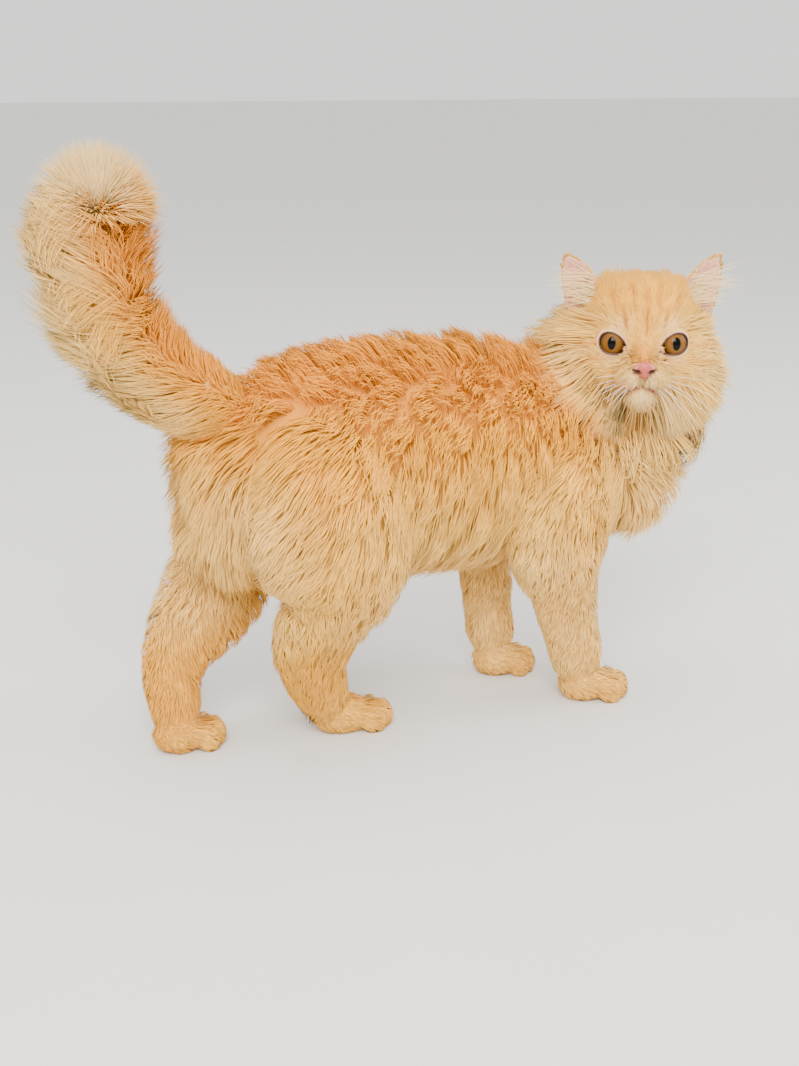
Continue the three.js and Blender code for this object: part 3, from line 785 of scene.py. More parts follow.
def head_colour(at):
    """Sand on the crown and cheeks, ivory on the muzzle, chin and brows, with darker stripes."""
    forward, left, up = from_head(at).T
    aside = np.abs(left)
    colour = np.repeat(SAND[None], len(at), 0)
    colour = towards(colour, GOLD, step_up(up, 16, 36) * 0.75)
    colour = towards(colour, CREAM, step_up(aside, 30, 46) * step_up(-up, -22, 0) * 0.8)
    in_front = step_up(forward, 5, 20)
    colour = towards(colour, IVORY, blot(aside, up, (0, -31), (19, 15)) * in_front * 1.3)
    colour = towards(colour, CREAM, step_up(-up, 28, 40) * 0.8)
    colour = towards(colour, IVORY, blot(aside, up, (0, -37), (12, 6)) * in_front)
    colour = towards(colour, GOLD, step_up(up, 2, 14) * step_up(-aside, -26, -16) * 0.5)
    colour = towards(colour, IVORY, blot(aside, up, (17, 15), (7, 5)) * in_front * 0.75)
    eyes, _ = face_gaps(at)
    colour = towards(colour, IVORY, step_up(-eyes, -5, -1) * step_up(forward, 0, 10) * 0.6)
    colour = towards(colour, IVORY, blot(aside, up, (22, -11), (10, 4)) * in_front * 0.45)
    bridge = blot(aside, up, (0, -6), (8, 9)) * step_up(forward, 15, 30)
    colour = towards(colour, GOLD, bridge * 0.7)
    for middle, wide, low, high, strength in FOREHEAD_STRIPES:
        lean = middle * (1 + 0.01 * (up - 20))
        line = np.exp(-(((left - lean) / wide) ** 2))
        line = line * step_up(up, low - 2, low + 5) * step_up(-up, -high, 6 - high)
        colour = towards(colour, RUST, line * step_up(forward, -5, 15) * strength)
    for row in PAD_ROWS:
        line = np.exp(-(((up - row + 0.3 * (aside - 8)) / 0.6) ** 2))
        line = line * step_up(aside, 6, 9) * step_up(-aside, -22, -18)
        colour = towards(colour, HONEY, line * step_up(forward, 10, 20) * 0.55)
    for middle, wide in FRECKLES:
        spot = blot(aside, up, middle, (wide, wide))
        colour = towards(colour, FRECKLE_BROWN, spot * step_up(forward, 10, 20) * 0.8)
    for rise, wide in CHEEK_LINES:
        drop = up - rise + 0.22 * (aside - 30)
        line = np.exp(-((drop / wide) ** 2)) * step_up(aside, 29, 35) * step_up(-aside, -52, -44)
        colour = towards(colour, HONEY, line * step_up(forward, -20, 0) * 0.7)
    return colour


def coat_colour(name, at, share, angle):
    """The coat's colour on one form."""
    if name == "tail":
        return tail_colour(at, share, angle)
    if name == "head":
        return head_colour(at)
    if name == "neck":
        back = step_up(-at[:, 0], -112, -80) * step_up(at[:, 2], 205, 250)
        colour = towards(np.repeat(CREAM[None], len(at), 0), SAND, 0.4 + 0.3 * patches(at, 45, 5))
        return towards(colour, GOLD, back * 0.8)
    return body_colour(at)


def paint(mesh, name, colours):
    """Gives each point of a mesh a colour, as an attribute that its material reads."""
    full = np.hstack([colours, np.ones((len(colours), 1))])
    mesh.color_attributes.new(name, "FLOAT_COLOR", "POINT")
    mesh.color_attributes[name].data.foreach_set("color", full.astype(np.float32).ravel())


def from_lips(at):
    """How far points lie from the mouth's line and from the groove above it."""
    return np.minimum(from_line(at, MOUTH_LINE), from_line(at, PHILTRUM))


# Cat skin with its undercoat: matt, finely pitted, and darker than the hair over it, which is
# painted shade under the coat. It takes the coat's colours, with the head's and the tail's own, and
# the lips are darker. Its pits are about 1.1 mm apart, 900 to the metre.
PITS_PER_METRE = 900.0
UNDERCOAT_PAINTED_SHADE = (0.92, 0.86, 0.8, 1)
HEAD_REACH = (52, 56, 56)
HEAD_LOWEST = -52
TAIL_BEHIND = -150
TAIL_ABOVE = 235
LIP_COLOUR = srgb("#A4645A")
skin_at = points_of(skin) / MM - SHIFT
skin_colour = body_colour(skin_at)
seen = from_head(skin_at)
of_head = (np.linalg.norm(seen / HEAD_REACH, axis=1) < 1) & (seen[:, 2] > HEAD_LOWEST)
skin_colour[of_head] = head_colour(skin_at[of_head])
skin_colour = towards(skin_colour, LIP_COLOUR, step_up(-from_lips(skin_at), -2.2, -0.9))
skin_colour[(skin_at[:, 0] < TAIL_BEHIND) & (skin_at[:, 2] > TAIL_ABOVE)] = CREAM
paint(skin.data, "coat_colour", skin_colour)
under, tree, out = new_material("undercoat_on_skin")
read = node(tree, "ShaderNodeAttribute", {"attribute_name": "coat_colour"})
place = node(tree, "ShaderNodeTexCoord")
pores = {"Scale": PITS_PER_METRE, "Detail": 3.0}
fine = node(tree, "ShaderNodeTexNoise", pores, {"Vector": place.outputs["Object"]})
# The coat's colours, multiplied by painted shade for the skin that shows between the hairs.
darker = node(
    tree,
    "ShaderNodeMixRGB",
    {"blend_type": "MULTIPLY", "Fac": 1.0, "Color2": UNDERCOAT_PAINTED_SHADE},
    {"Color1": read.outputs["Color"]},
)
pits = node(tree, "ShaderNodeBump", {"Strength": 0.35, "Distance": 0.0006}, {"Height": fine.outputs["Fac"]})
hide = node(
    tree,
    "ShaderNodeBsdfPrincipled",
    {"Roughness": 0.8},
    {"Base Color": darker.outputs["Color"], "Normal": pits.outputs["Normal"]},
)
tree.links.new(hide.outputs["BSDF"], out.inputs["Surface"])
skin.data.materials.clear()
skin.data.materials.append(under)
flesh = [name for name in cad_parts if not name.startswith(("eye_", "ear_", "nose"))]
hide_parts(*flesh)
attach(skin, "root")

# The coat, in tufts of hair that grow from the skin and lie along the body in locks. Each tuft is
# a thin three-sided blade, bent along the lie of the coat and drawn in towards the tip of its lock.
growth = np.random.default_rng(20)
CELLS = {name: (0.2 * (i % 5), 0.25 * (i // 5)) for i, name in enumerate(forms)}
PATCH = 0.003
LOWEST = 0.0002
# How wide a blade is at shares of its length, and how far its flat side and its ridge stand off
# the middle, as shares of its half width
BLADE_WIDTHS = ((0, 0.35, 0.7, 1), (0.7, 1.0, 0.72, 0))
BLADE_FLAT = 0.3
BLADE_RIDGE = 0.6
SOFTENED = 0.65


def blade_faces(steps):
    """The points of each face of one blade: its butt, its three sides and its tip."""
    faces = [[0, 2, 1]]
    last = 3 * (steps - 2)
    for ring in range(0, last, 3):
        for k in range(3):
            n = (k + 1) % 3
            faces.append([ring + k, ring + n, ring + 3 + n, ring + 3 + k])
    for k in range(3):
        faces.append([last + k, last + (k + 1) % 3, last + 3])
    return faces


def blade_mesh(name, points, steps):
    """A closed blade for each row of points, with the point at each corner of its faces."""
    count, each, _ = points.shape
    faces = blade_faces(steps)
    corners = (np.concatenate(faces)[None] + (np.arange(count) * each)[:, None]).ravel()
    sizes = np.tile([len(face) for face in faces], count)
    starts = np.concatenate([[0], np.cumsum(sizes)[:-1]])
    placed = (points.reshape(-1, 3) + SHIFT) * MM
    placed[:, 2] = np.maximum(placed[:, 2], LOWEST)
    mesh = bpy.data.meshes.new(name)
    mesh.vertices.add(len(placed))
    mesh.vertices.foreach_set("co", placed.astype(np.float32).ravel())
    mesh.loops.add(len(corners))
    mesh.loops.foreach_set("vertex_index", corners.astype(np.int32))
    mesh.polygons.add(len(sizes))
    mesh.polygons.foreach_set("loop_start", starts.astype(np.int32))
    mesh.polygons.foreach_set("use_smooth", np.ones(len(sizes), bool))
    mesh.update(calc_edges=True)
    return mesh, corners


def blades(name, root_uv, path, outward, width, colours):
    """A piece of coat: one closed blade along each path.

    path holds a row of points for each tuft, outward the way out of the coat at each of them, and
    colours the root's and the tip's colour of each tuft. Its normals lean towards the way out.
    """
    count, steps, _ = path.shape
    along = unit(np.gradient(path, axis=1))
    side = unit(np.cross(along, outward))
    twist = growth.uniform(-0.5, 0.5, (count, 1, 1))
    side = unit(side * np.cos(twist) + np.cross(along, side) * np.sin(twist))
    thick = np.cross(side, along)
    shape = np.interp(np.linspace(0, 1, steps), *BLADE_WIDTHS)[None, :, None]
    half = shape * (width[:, None, None] / 2)
    low, ridge = thick * half * BLADE_FLAT, thick * half * BLADE_RIDGE
    corners = np.stack([path + side * half - low, path - side * half - low, path + ridge], 2)
    points = np.concatenate([corners[:, :-1].reshape(count, -1, 3), path[:, -1:]], 1)
    mesh, corner_points = blade_mesh(name, points, steps)
    way = np.append(np.repeat(np.linspace(0, 1, steps)[:-1], 3), 1.0)[None, :, None]
    tint = colours[:, None, 0] * (1 - way) + colours[:, None, 1] * way
    paint(mesh, "coat_colour", tint.reshape(-1, 3))
    across = np.append(np.tile([0.0, 0.5, 1.0], steps - 1), 0.5)
    local = np.stack([way[0, :, 0], across], -1) * PATCH
    uv = (root_uv[:, None] + local[None]).reshape(-1, 2)[corner_points]
    mesh.uv_layers.new(name="OFBake").data.foreach_set("uv", uv.astype(np.float32).ravel())
    soft = np.concatenate([np.repeat(outward[:, :-1], 3, axis=1), outward[:, -1:]], 1).reshape(-1, 3)
    bare = np.empty(len(soft) * 3, np.float32)
    mesh.vertices.foreach_get("normal", bare)
    mesh.normals_split_custom_set_from_vertices(unit(bare.reshape(-1, 3) * (1 - SOFTENED) + soft * SOFTENED))
    piece = bpy.data.objects.new(name, mesh)
    bpy.context.collection.objects.link(piece)
    mesh.materials.append(hair)
    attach(piece, "root")


# Guard hair over undercoat: each tuft has its own tone, painted shade at the root and painted light
# at the tip, and a soft sheen. Its tone wavers along it every 4 mm or so, 260 times to the metre.
STREAKS_PER_METRE = 260.0
hair, tree, out = new_material("long_silky_hair")
read = node(tree, "ShaderNodeAttribute", {"attribute_name": "coat_colour"})
place = node(tree, "ShaderNodeTexCoord")
streaks = {"Scale": STREAKS_PER_METRE, "Detail": 2.0}
uneven = node(tree, "ShaderNodeTexNoise", streaks, {"Vector": place.outputs["Object"]})
depth = node(tree, "ShaderNodeMapRange", {"To Min": 0.9, "To Max": 1.1}, {"Value": uneven.outputs["Fac"]})
streaked = node(
    tree,
    "ShaderNodeMixRGB",
    {"blend_type": "MULTIPLY", "Fac": 1.0},
    {"Color1": read.outputs["Color"], "Color2": depth.outputs[0]},
)
strands = node(
    tree,
    "ShaderNodeBsdfPrincipled",
    {"Roughness": 0.75, "Specular IOR Level": 0.1, "Sheen Weight": 0.03, "Sheen Roughness": 0.5},
    {"Base Color": streaked.outputs["Color"]},
)
tree.links.new(strands.outputs["BSDF"], out.inputs["Surface"])


def level(value):
    """The same value all over a form."""
    return lambda at, out, share, angle: np.full(len(at), float(value))


BURIED_SUNK = 0.92


def buried_in(name, at):
    """Which roots on one form lie inside another one."""
    buried = np.zeros(len(at), bool)
    for other, shape in forms.items():
        low, high = shape.box
        near = np.flatnonzero(((at > low) & (at < high)).all(1) & ~buried)
        if other != name and len(near):
            buried[near] = shape.holds(at[near], BURIED_SUNK)
    return buried


def in_locks(at, locks):
    """Gathers roots in locks: each root's lock, and the root that the lock draws in to."""
    seeds = growth.choice(len(at), locks, replace=False)
    lock_of = np.empty(len(at), int)
    block = 4000
    for begin in range(0, len(at), block):
        gaps = ((at[begin : begin + block, None] - at[seeds][None]) ** 2).sum(-1)
        lock_of[begin : begin + block] = np.argmin(gaps, 1)
    return lock_of, seeds[lock_of]


def laid_over(path, outward, t, other):
    """Lifts hair out of another form, beyond the root, where it would run into it."""
    low, high = forms[other].box
    flat, lift = path.reshape(-1, 3), outward.reshape(-1, 3)
    past_root = np.tile(t, (len(path), 1)).ravel() > 0.2
    inside = np.flatnonzero(((flat > low) & (flat < high)).all(1) & past_root)
    moved = flat[inside].copy()
    sunk, step = 0.25, 2.2
    for _ in range(6):
        within = forms[other].holds(moved, sunk)
        moved[within] += lift[inside][within] * step
    still = forms[other].holds(moved, sunk)
    flat[inside[~still]] = moved[~still]
    return flat.reshape(path.shape)


# Painted shade at each tuft's root, where the hair round it shades it, and painted light at its tip.
ROOT_PAINTED_SHADE = (0.86, 0.78, 0.68)
TIP_PAINTED_LIGHT = (1.05, 1.06, 1.08)
LOCK_VARIES = 0.05
TUFT_VARIES = 0.04
LOCK_CROWD = 2.6
FULL_TURN = 2 * np.pi


def root_to_tip(roots, tips, shade):
    """Each tuft's colours: painted shade at the root, darker and warmer, and painted light at the tip, each
    in its own tone.
    """
    return np.stack([roots * ROOT_PAINTED_SHADE, tips * TIP_PAINTED_LIGHT], 1) * shade[:, None, None]


def in_cell(cell, across, up, size=(0.18, 0.22)):
    """Places in one cell of the OFBake map, from shares across it and up it."""
    return np.array(cell) + np.stack([0.01 + size[0] * across, 0.01 + size[1] * up], -1)


def coat(
    name, count, long, lie, width=1.0, clump=9.0, pull=0.4, bend=1.7, tip=(-0.03, 0.08),
    root=0.85, steps=4, keep=None, rise=level(0), straight=None, last=0.985, over=(), pieces=1,
    stray=0.1, wave=1.8, clear=None,
):
    """Grows the coat of one form, in tufts that lie together in locks.

    long, lie, rise and keep are functions of the roots' places: how long the hair is, which way it
    lies, how far its ends stand off and where it grows. clump is how wide a lock is, pull how far
    its hair draws together, and tip how deep the ends lie below the outline of the coat, as shares
    of its depth. straight is the share of the way that hair at a place falls straight instead of
    following the form round, last is where the ends stop, and hair lies over the forms named in over.
    """
    form = forms[name]
    share = growth.uniform(0.004, min(last, 0.99), count * 3)
    angle = growth.uniform(0, FULL_TURN, count * 3)
    here = form.surface(share, angle, root)
    step = 0.004
    share_run = (form.surface(np.minimum(share + step, 1), angle, root) - here) / step
    angle_run = (form.surface(share, angle + step, root) - here) / step
    area = np.linalg.norm(np.cross(share_run, angle_run), axis=1)
    area = np.where(buried_in(name, here), 0, area)
    out = form.outward(share, angle)
    weight = area if keep is None else area * keep(here, out)
    most = min(count, int((weight > 0).sum()))
    chosen = growth.choice(len(share), most, replace=False, p=weight / weight.sum())
    share, angle, here, out = (rows[chosen] for rows in (share, angle, here, out))
    count = len(share)
    locks = int(np.clip(area.mean() * FULL_TURN / (clump * clump * LOCK_CROWD), 8, count // 3))
    lock_of, home = in_locks(here, locks)

    way = lie(here, out, share, angle)
    way = way + growth.normal(0, 0.12, (locks, 3))[lock_of] + growth.normal(0, 0.09, (count, 3))
    way = unit(way - out * (way * out).sum(1, keepdims=True))
    length = long(here, out, share, angle) * growth.uniform(0.85, 1.1, locks)[lock_of]
    length = length * growth.uniform(0.8, 1.1, count)
    share_go, angle_go = (
        (way * run).sum(1) / np.maximum(np.linalg.norm(run, axis=1), 1e-6) ** 2 * length
        for run in (share_run[chosen], angle_run[chosen])
    )
    angle_go = np.clip(angle_go, -1.2, 1.2)
    loose = growth.uniform(0, 1, count) < stray
    drawn = pull * np.where(loose, 0.2, 1.0)
    share_pull = (share[home] - share) * drawn
    angle_pull = ((angle[home] - angle + np.pi) % FULL_TURN - np.pi) * drawn
    ends_at = last - growth.uniform(0, 0.13, count) * (last < 0.9)
    room = np.clip((ends_at - share) / np.maximum(share_go, 1e-6), 0.15, 1)
    room = np.where(share_go > 0, room, 1.0)
    t = np.linspace(0, 1, steps)[None]
    shares = share[:, None] + (share_go * room)[:, None] * t + share_pull[:, None] * t**1.3
    angles = angle[:, None] + (angle_go * room)[:, None] * t + angle_pull[:, None] * t**1.3
    shares = np.minimum(shares, max(last, share.max()))

    off_middle = np.clip(np.linalg.norm(here - here[home], axis=1) / clump, 0, 1.2)
    ends = growth.uniform(tip[0], tip[1], locks)[lock_of] + growth.uniform(-0.05, 0.05, count)
    ends = ends + 0.1 * off_middle - 0.1 * loose + 0.05 * patches(here, 24, 11)
    sunk = (root + 0.08) * (1 - t) ** bend + ends[:, None] * t
    path = form.surface(shares, angles, sunk)
    outward = form.outward(shares, angles)
    if straight is not None:
        share_straight = straight(share)[:, None, None]
        depth = form.pick(share)[1][:, 2]
        fall = way * length[:, None]
        drawn_in = (here[home] - here) * drawn[:, None] * 0.3
        plumb = here[:, None] + fall[:, None] * t[..., None] + drawn_in[:, None] * t[..., None] ** 1.3
        plumb = plumb + out[:, None] * ((root - sunk) * depth[:, None])[..., None]
        path = path * (1 - share_straight) + plumb * share_straight
        outward = unit(outward * (1 - share_straight) + out[:, None] * share_straight)
    path = path + outward * (rise(here, out, share, angle)[:, None] * t**1.4)[..., None]
    phase = growth.uniform(0, FULL_TURN, locks)[lock_of] + growth.normal(0, 0.5, count)
    swing = wave * t * np.sin(phase[:, None] + 4.5 * t)
    path = path + np.cross(out, way)[:, None] * swing[..., None]
    if clear is not None:
        path = clear(path)
    for other in over:
        path = laid_over(path, outward, t, other)

    shade = 1 + growth.normal(0, LOCK_VARIES, locks)[lock_of] + growth.normal(0, TUFT_VARIES, count)
    end_share, end_angle = np.clip(shares[:, -1], 0, 1), angles[:, -1]
    roots = coat_colour(name, form.surface(share, angle), share, angle)
    tips = coat_colour(name, form.surface(end_share, end_angle), end_share, end_angle)
    colours = root_to_tip(roots, tips, shade)
    root_uv = in_cell(CELLS[name], share, (angle % FULL_TURN) / FULL_TURN)
    broad = width * growth.uniform(0.7, 1.3, count)
    for i, part in enumerate(np.array_split(growth.permutation(count), pieces)):
        label = f"coat_{name}" + (f"_{i + 1}" if pieces > 1 else "")
        blades(label, root_uv[part], path[part], outward[part], broad[part], colours[part])


# The long hair of the body. It lies back along the spine and down the flanks over the tops of the
# legs, and falls straight down on the chest and the rump.
def flank_lie(at, out, share, angle):
    """Back along the spine, down the flanks, straight down on the chest and the rump."""
    hang = np.clip(1.05 - out[:, 2], 0.05, 1.5) * 1.2
    backward = 1 - 0.75 * step_up(at[:, 0], 100, 160) - 0.9 * step_up(-at[:, 0], 110, 145)
    return np.stack([-backward, 0 * hang, -hang], -1)


def torso_long(at, out, share, angle):
    """Shorter along the spine, longest on the belly and the breeches."""
    return 20 + 15 * step_up(-out[:, 2], -0.4, 0.9) + 9 * step_up(-at[:, 0], 100, 145)


def torso_rise(at, out, share, angle):
    """The ends stand off a little along the back, in uneven waves down the flanks."""
    return 1.0 + 1.2 * patches(at, 26, 12) - 0.5 * step_up(out[:, 2], 0.2, 0.9)


def torso_keep(at, out):
    """Thicker at the rump."""
    return 1 + 1.2 * step_up(-at[:, 0], 125, 145)


def torso_straight(share):
    """Plumb at both ends, where the form rounds off."""
    return 1 - step_up(share, 0.05, 0.13) + step_up(share, 0.84, 0.93)


coat(
    "torso", 23400, torso_long, flank_lie, width=0.9, clump=9, pull=0.45, keep=torso_keep,
    rise=torso_rise, over=[leg_name + "_upper" for leg_name in LEGS], pieces=3, straight=torso_straight,
)

# The neck and the bib: the longest and softest hair of the cat, cream, which falls from behind the
# cheeks over the shoulders and the chest.
BIB_WAY = np.array([0.88, -0.47, 0.0])


def neck_lie(at, out, share, angle):
    """Away from the face and down."""
    return unit(at - by_head((22, 0, 0))) + np.array([0, 0, -0.35])


def neck_rise(at, out, share, angle):
    """The bib swells out in front, below the cheek."""
    return 5 * step_up(out @ BIB_WAY, 0.2, 0.8)


def neck_keep(at, out):
    """Nowhere inside the head."""
    return np.linalg.norm(at - HEAD_AT, axis=1) > 38


coat(
    "neck", 9700, level(34), neck_lie, keep=neck_keep, rise=neck_rise, clump=7, pull=0.22,
    bend=1.4, tip=(-0.1, 0.08), stray=0.15, over=["torso"], pieces=2,
)

# The plume of the tail: long hair that lies close along its front and is swept out and back at its
# sides. It grows from the whole length of the tail up to the last bone.
def plume_lie(at, out, share, angle):
    """Along the tail towards its tip, and swept round its sides towards the back."""
    _, _, along, _, front = tail.pick(share)
    sweep = (0.3 + 0.4 * step_up(share, 0, 0.2)) * step_up(-np.sin(angle), -0.95, -0.3)
    return along - front * sweep[:, None]


def plume_rise(at, out, share, angle):
    """The hair stands off behind the tail and closes in below the fan at its end."""
    behind = step_up(-np.sin(angle), -0.1, 0.8) * (1 - step_up(share, 0.6, 0.8))
    behind = behind * step_up(share, 0.06, 0.3)
    return behind * (9 + 5 * patches(at, 14, 8)) - 6 * step_up(share, 0.62, 0.84)


def plume_long(at, out, share, angle):
    """Short along the front of the tail and longer behind, and shorter at its root."""
    return (34 - 10 * np.sin(angle)) * (0.65 + 0.35 * step_up(share, 0.0, 0.2))


coat(
    "tail", 10600, plume_long, plume_lie, width=0.9, clump=10, pull=0.3, bend=1.2,
    tip=(-0.06, 0.06), root=0.92, rise=plume_rise, last=0.88, stray=0.3, wave=1.6,
)

# The legs' coats: full on the upper leg and close on the lower one. Each row holds the tufts and
# the length of the hair on the upper leg, and then on the lower leg.
LEG_COATS = {"foreleg": (3200, 20, 2600, 11), "hindleg": (4600, 25, 3400, 16)}


def leg_lie(at, out, share, angle):
    """Down the leg and a little back, more so at its top, where it meets the flank."""
    back = -0.25 - 0.5 * step_up(at[:, 2], 120, 190)
    return np.stack([back, 0 * back, 0 * back - 1], -1)


def shorter_below(full):
    """Hair that gets shorter down the leg."""
    return lambda at, out, share, angle: full - 8 * step_up(share, 0.55, 0.95)


for leg_name in LEGS:
    upper_count, upper_long, lower_count, lower_long = LEG_COATS[leg_name.split("_")[0]]
    coat(
        leg_name + "_upper", upper_count, shorter_below(upper_long), leg_lie, clump=7, pull=0.3,
        root=0.8, straight=lambda share: 0.7 * step_up(share, 0.68, 0.88),
    )
    coat(
        leg_name + "_lower", lower_count, level(lower_long), leg_lie, width=0.9, clump=5,
        steps=3, wave=1.0, pull=0.3, root=0.8, tip=(-0.08, 0.08),
        straight=lambda share: step_up(share, 0.75, 0.92),
    )

# The flat of the rump, where the torso's form ends: long hair that hangs down below the tail, from
# roots all over an upright oval.
RUMP_AT = np.array([-148, 14, 196])
RUMP_REACH = np.array([0, 17, 28])
RUMP_COUNT = 1500
RUMP_LOCKS = 60
RUMP_CELL = (0.8, 0.9)
rump_turn = growth.uniform(0, FULL_TURN, RUMP_COUNT)
rump_far = np.sqrt(growth.uniform(0, 1, RUMP_COUNT))
rump_oval = np.stack([np.zeros(RUMP_COUNT), np.cos(rump_turn) * rump_far, np.sin(rump_turn) * rump_far], -1)
rump_root = RUMP_AT + rump_oval * RUMP_REACH
rump_home = np.argmin(((rump_root[:, None] - rump_root[None, :RUMP_LOCKS]) ** 2).sum(-1), 1)
rump_long = growth.uniform(30, 41, RUMP_COUNT) * growth.uniform(0.88, 1.1, RUMP_LOCKS)[rump_home]
rump_lean = growth.normal(0, 0.07, (RUMP_LOCKS, 3))[rump_home]
rump_way = unit(np.array([-0.06, 0, -1]) + rump_oval * (0, 0.3, 0) + rump_lean)
t = np.linspace(0, 1, 4)[None, :, None]
rump_path = rump_root[:, None] + rump_way[:, None] * rump_long[:, None, None] * t
rump_path = rump_path + (rump_root[rump_home] - rump_root)[:, None] * t * 0.4
rump_off = growth.uniform(7, 11, RUMP_LOCKS)[rump_home] + growth.uniform(-1, 1, RUMP_COUNT)
rump_path = rump_path + np.array([-1, 0, 0]) * rump_off[:, None, None] * (1 - (1 - t) ** 2)
rump_shade = 1 + growth.normal(0, LOCK_VARIES, RUMP_LOCKS)[rump_home]
rump_shade = rump_shade + growth.normal(0, TUFT_VARIES, RUMP_COUNT)
blades(
    "coat_rump",
    in_cell(RUMP_CELL, rump_turn / FULL_TURN, rump_far, (0.18, 0.07)),
    rump_path,
    unit(np.repeat((rump_oval * (0, 0.5, 0.3) + (-1, 0, 0.1))[:, None], 4, 1)),
    growth.uniform(0.65, 1.2, RUMP_COUNT),
    root_to_tip(body_colour(rump_root), body_colour(rump_path[:, -1]), rump_shade),
)

# The end of the tail opens in a fan of pale hair round the last bone, with honey in front and
# below. The hairs run straight out from it and bow up a little.
FAN_AT = np.array([-218, -9.5, 364])
FAN_REACH = np.array([44, 36, 47])
FAN_COUNT = 3400
FAN_BOW = 5
FAN_CELL = (0.8, 0.75)


def drawn_hairs(name, roots, tips, lifts, outs, width, root_uv, colours, steps=4, clear=None):
    """Blades from roots to tips, bowed out by lifts on the way."""
    t = np.linspace(0, 1, steps)[None, :, None]
    path = roots[:, None] * (1 - t) + tips[:, None] * t + lifts[:, None] * 4 * t * (1 - t)
    if clear is not None:
        path = clear(path)
    outward = np.repeat(outs[:, None], steps, 1)
    blades(name, root_uv, path, outward, width, colours)


fan_way = unit(growth.normal(size=(FAN_COUNT * 3, 3)) + (0, 0, 0.55))
fan_way = fan_way[fan_way[:, 2] > -0.12 + 0.3 * np.minimum(fan_way[:, 0], 0)][:FAN_COUNT]
fan_root = FAN_AT + fan_way * growth.uniform(2, 14, (FAN_COUNT, 1))
fan_tip = FAN_AT + fan_way * FAN_REACH * growth.uniform(0.74, 1.03, (FAN_COUNT, 1))
fan_lift = np.array([0, 0, 1.0]) * (1 - np.abs(fan_way[:, 2:3])) * FAN_BOW / 2
fan_shade = 1 + growth.normal(0, 0.05, (FAN_COUNT, 1))
creamy = growth.uniform(0.1, 0.7, FAN_COUNT)
fan_ends = towards(np.repeat(IVORY[None], FAN_COUNT, 0), CREAM, creamy) * fan_shade
fan_front = step_up(fan_way[:, 0], 0.2, 0.95)
fan_low = step_up(-fan_way[:, 2], -0.45, 0.1)
fan_ends = towards(fan_ends, GOLD, np.maximum(fan_front, fan_low * 0.7) * 0.8)
# The roots are more honey, and a little darker as painted shade deep in the fan.
fan_roots = towards(fan_ends, HONEY, np.full(FAN_COUNT, 0.3)) * 0.97
fan_turn = np.arctan2(fan_way[:, 1], fan_way[:, 0]) / FULL_TURN + 0.5
drawn_hairs(
    "coat_tail_tip",
    fan_root,
    fan_tip,
    fan_lift,
    unit(fan_way * 0.4 + np.array([0, 0, 0.9])),
    growth.uniform(0.8, 1.3, FAN_COUNT),
    in_cell(FAN_CELL, fan_turn, 1 - fan_way[:, 2], (0.18, 0.1)),
    np.stack([fan_roots, fan_ends], 1),
)

# Short fur on the paws, forward over the toes and down to the floor. None grows on the soles.
SOLE_TOP = 1.2


def paw_lie(leg):
    """Forward the way the toes point, and down."""
    way = leading_axes(leg["paw"][1])[0] * 0.9 + np.array([0, 0, -0.5])
    return lambda at, out, share, angle: np.repeat(way[None], len(at), 0)


def paw_keep(at, out):
    """Above the sole."""
    return (at[:, 2] > SOLE_TOP).astype(float)


for leg_name, leg in LEGS.items():
    coat(
        leg_name + "_paw", 1800, level(6), paw_lie(leg), width=0.85, wave=0.3, clump=3, pull=0.4,
        bend=1.2, tip=(-0.3, 0.15), steps=3, keep=paw_keep,
    )

# Short fur of the face, which parts at the nose and lies back over the crown and the cheeks. It
# grows longer towards the ruff, and very short round the eyes, the nose and the lips.
def cheek_share(at):
    """How far a place lies towards the cheeks' edge, the jaw or the back of the head."""
    forward, left, up = from_head(at).T
    cheek = step_up(np.abs(left), 27, 42) * step_up(-up, -24, -6)
    jaw = step_up(-up, 40, 50)
    behind = step_up(-forward, -12, 10)
    return np.maximum(np.maximum(cheek, jaw), behind)


def face_long(at, out, share, angle):
    """Longer on the cheeks, the nape and the crown, very short at the eyes, the nose and the lips."""
    forward, _, up = from_head(at).T
    eyes, nose_gap = face_gaps(at)
    nape = 10 * step_up(-forward, 10, 32) * step_up(-up, -26, 0)
    long = 7 + 13 * cheek_share(at) + nape + 6 * step_up(up, 26, 40) - 3.5 * step_up(forward, 24, 36)
    long = np.minimum(long, 1.5 + 0.7 * np.maximum(eyes, 0))
    long = np.minimum(long, 1.5 + 0.5 * np.maximum(nose_gap, 0))
    return np.minimum(long, 0.4 + 0.3 * from_lips(at))


def face_rise(at, out, share, angle):
    """How far the ends of the fur stand off the head."""
    _, left, up = from_head(at).T
    corner = step_up(np.abs(left), 12, 24) * step_up(-np.abs(left), -36, -28)
    crown = step_up(up, 26, 40) * (0.5 + 6 * corner)
    return 0.6 + 7.5 * cheek_share(at) + crown


def face_keep(at, out):
    """Thicker on the face, and none on the eyes, the nose and the lips."""
    forward = from_head(at)[:, 0]
    eyes, nose_gap = face_gaps(at)
    lips = np.minimum(from_line(at, MOUTH_LINE), from_line(at, PHILTRUM) + 0.5)
    return ((eyes > 0.55) & (nose_gap > 0) & (lips > 1.3)) * (0.4 + 1.1 * step_up(forward, -10, 15))


def face_lie(at, out, share, angle):
    """Away from the bridge of the nose."""
    down = np.array([0, 0, -1.2]) * step_up(-from_head(at)[:, 0], 5, 30)[:, None]
    return unit(at - by_head((40, 0, -14))) + HEAD_AXES[0] * -0.2 + down


def off_the_eyes(path):
    """Keeps the fur of the lids outside the eyeballs."""
    for side in SIDES.values():
        away = path - eye_centre(side)
        far = np.linalg.norm(away, axis=-1, keepdims=True)
        path = path + away / far * np.maximum(LID_REACH + 0.3 - far, 0)
    return path


coat(
    "head", 16500, face_long, face_lie, width=0.75, clump=4, pull=0.3, bend=1.0,
    tip=(-0.4, 0.1), root=1.0, steps=3, keep=face_keep, rise=face_rise, stray=0.15, wave=0.5,
    clear=off_the_eyes,
)

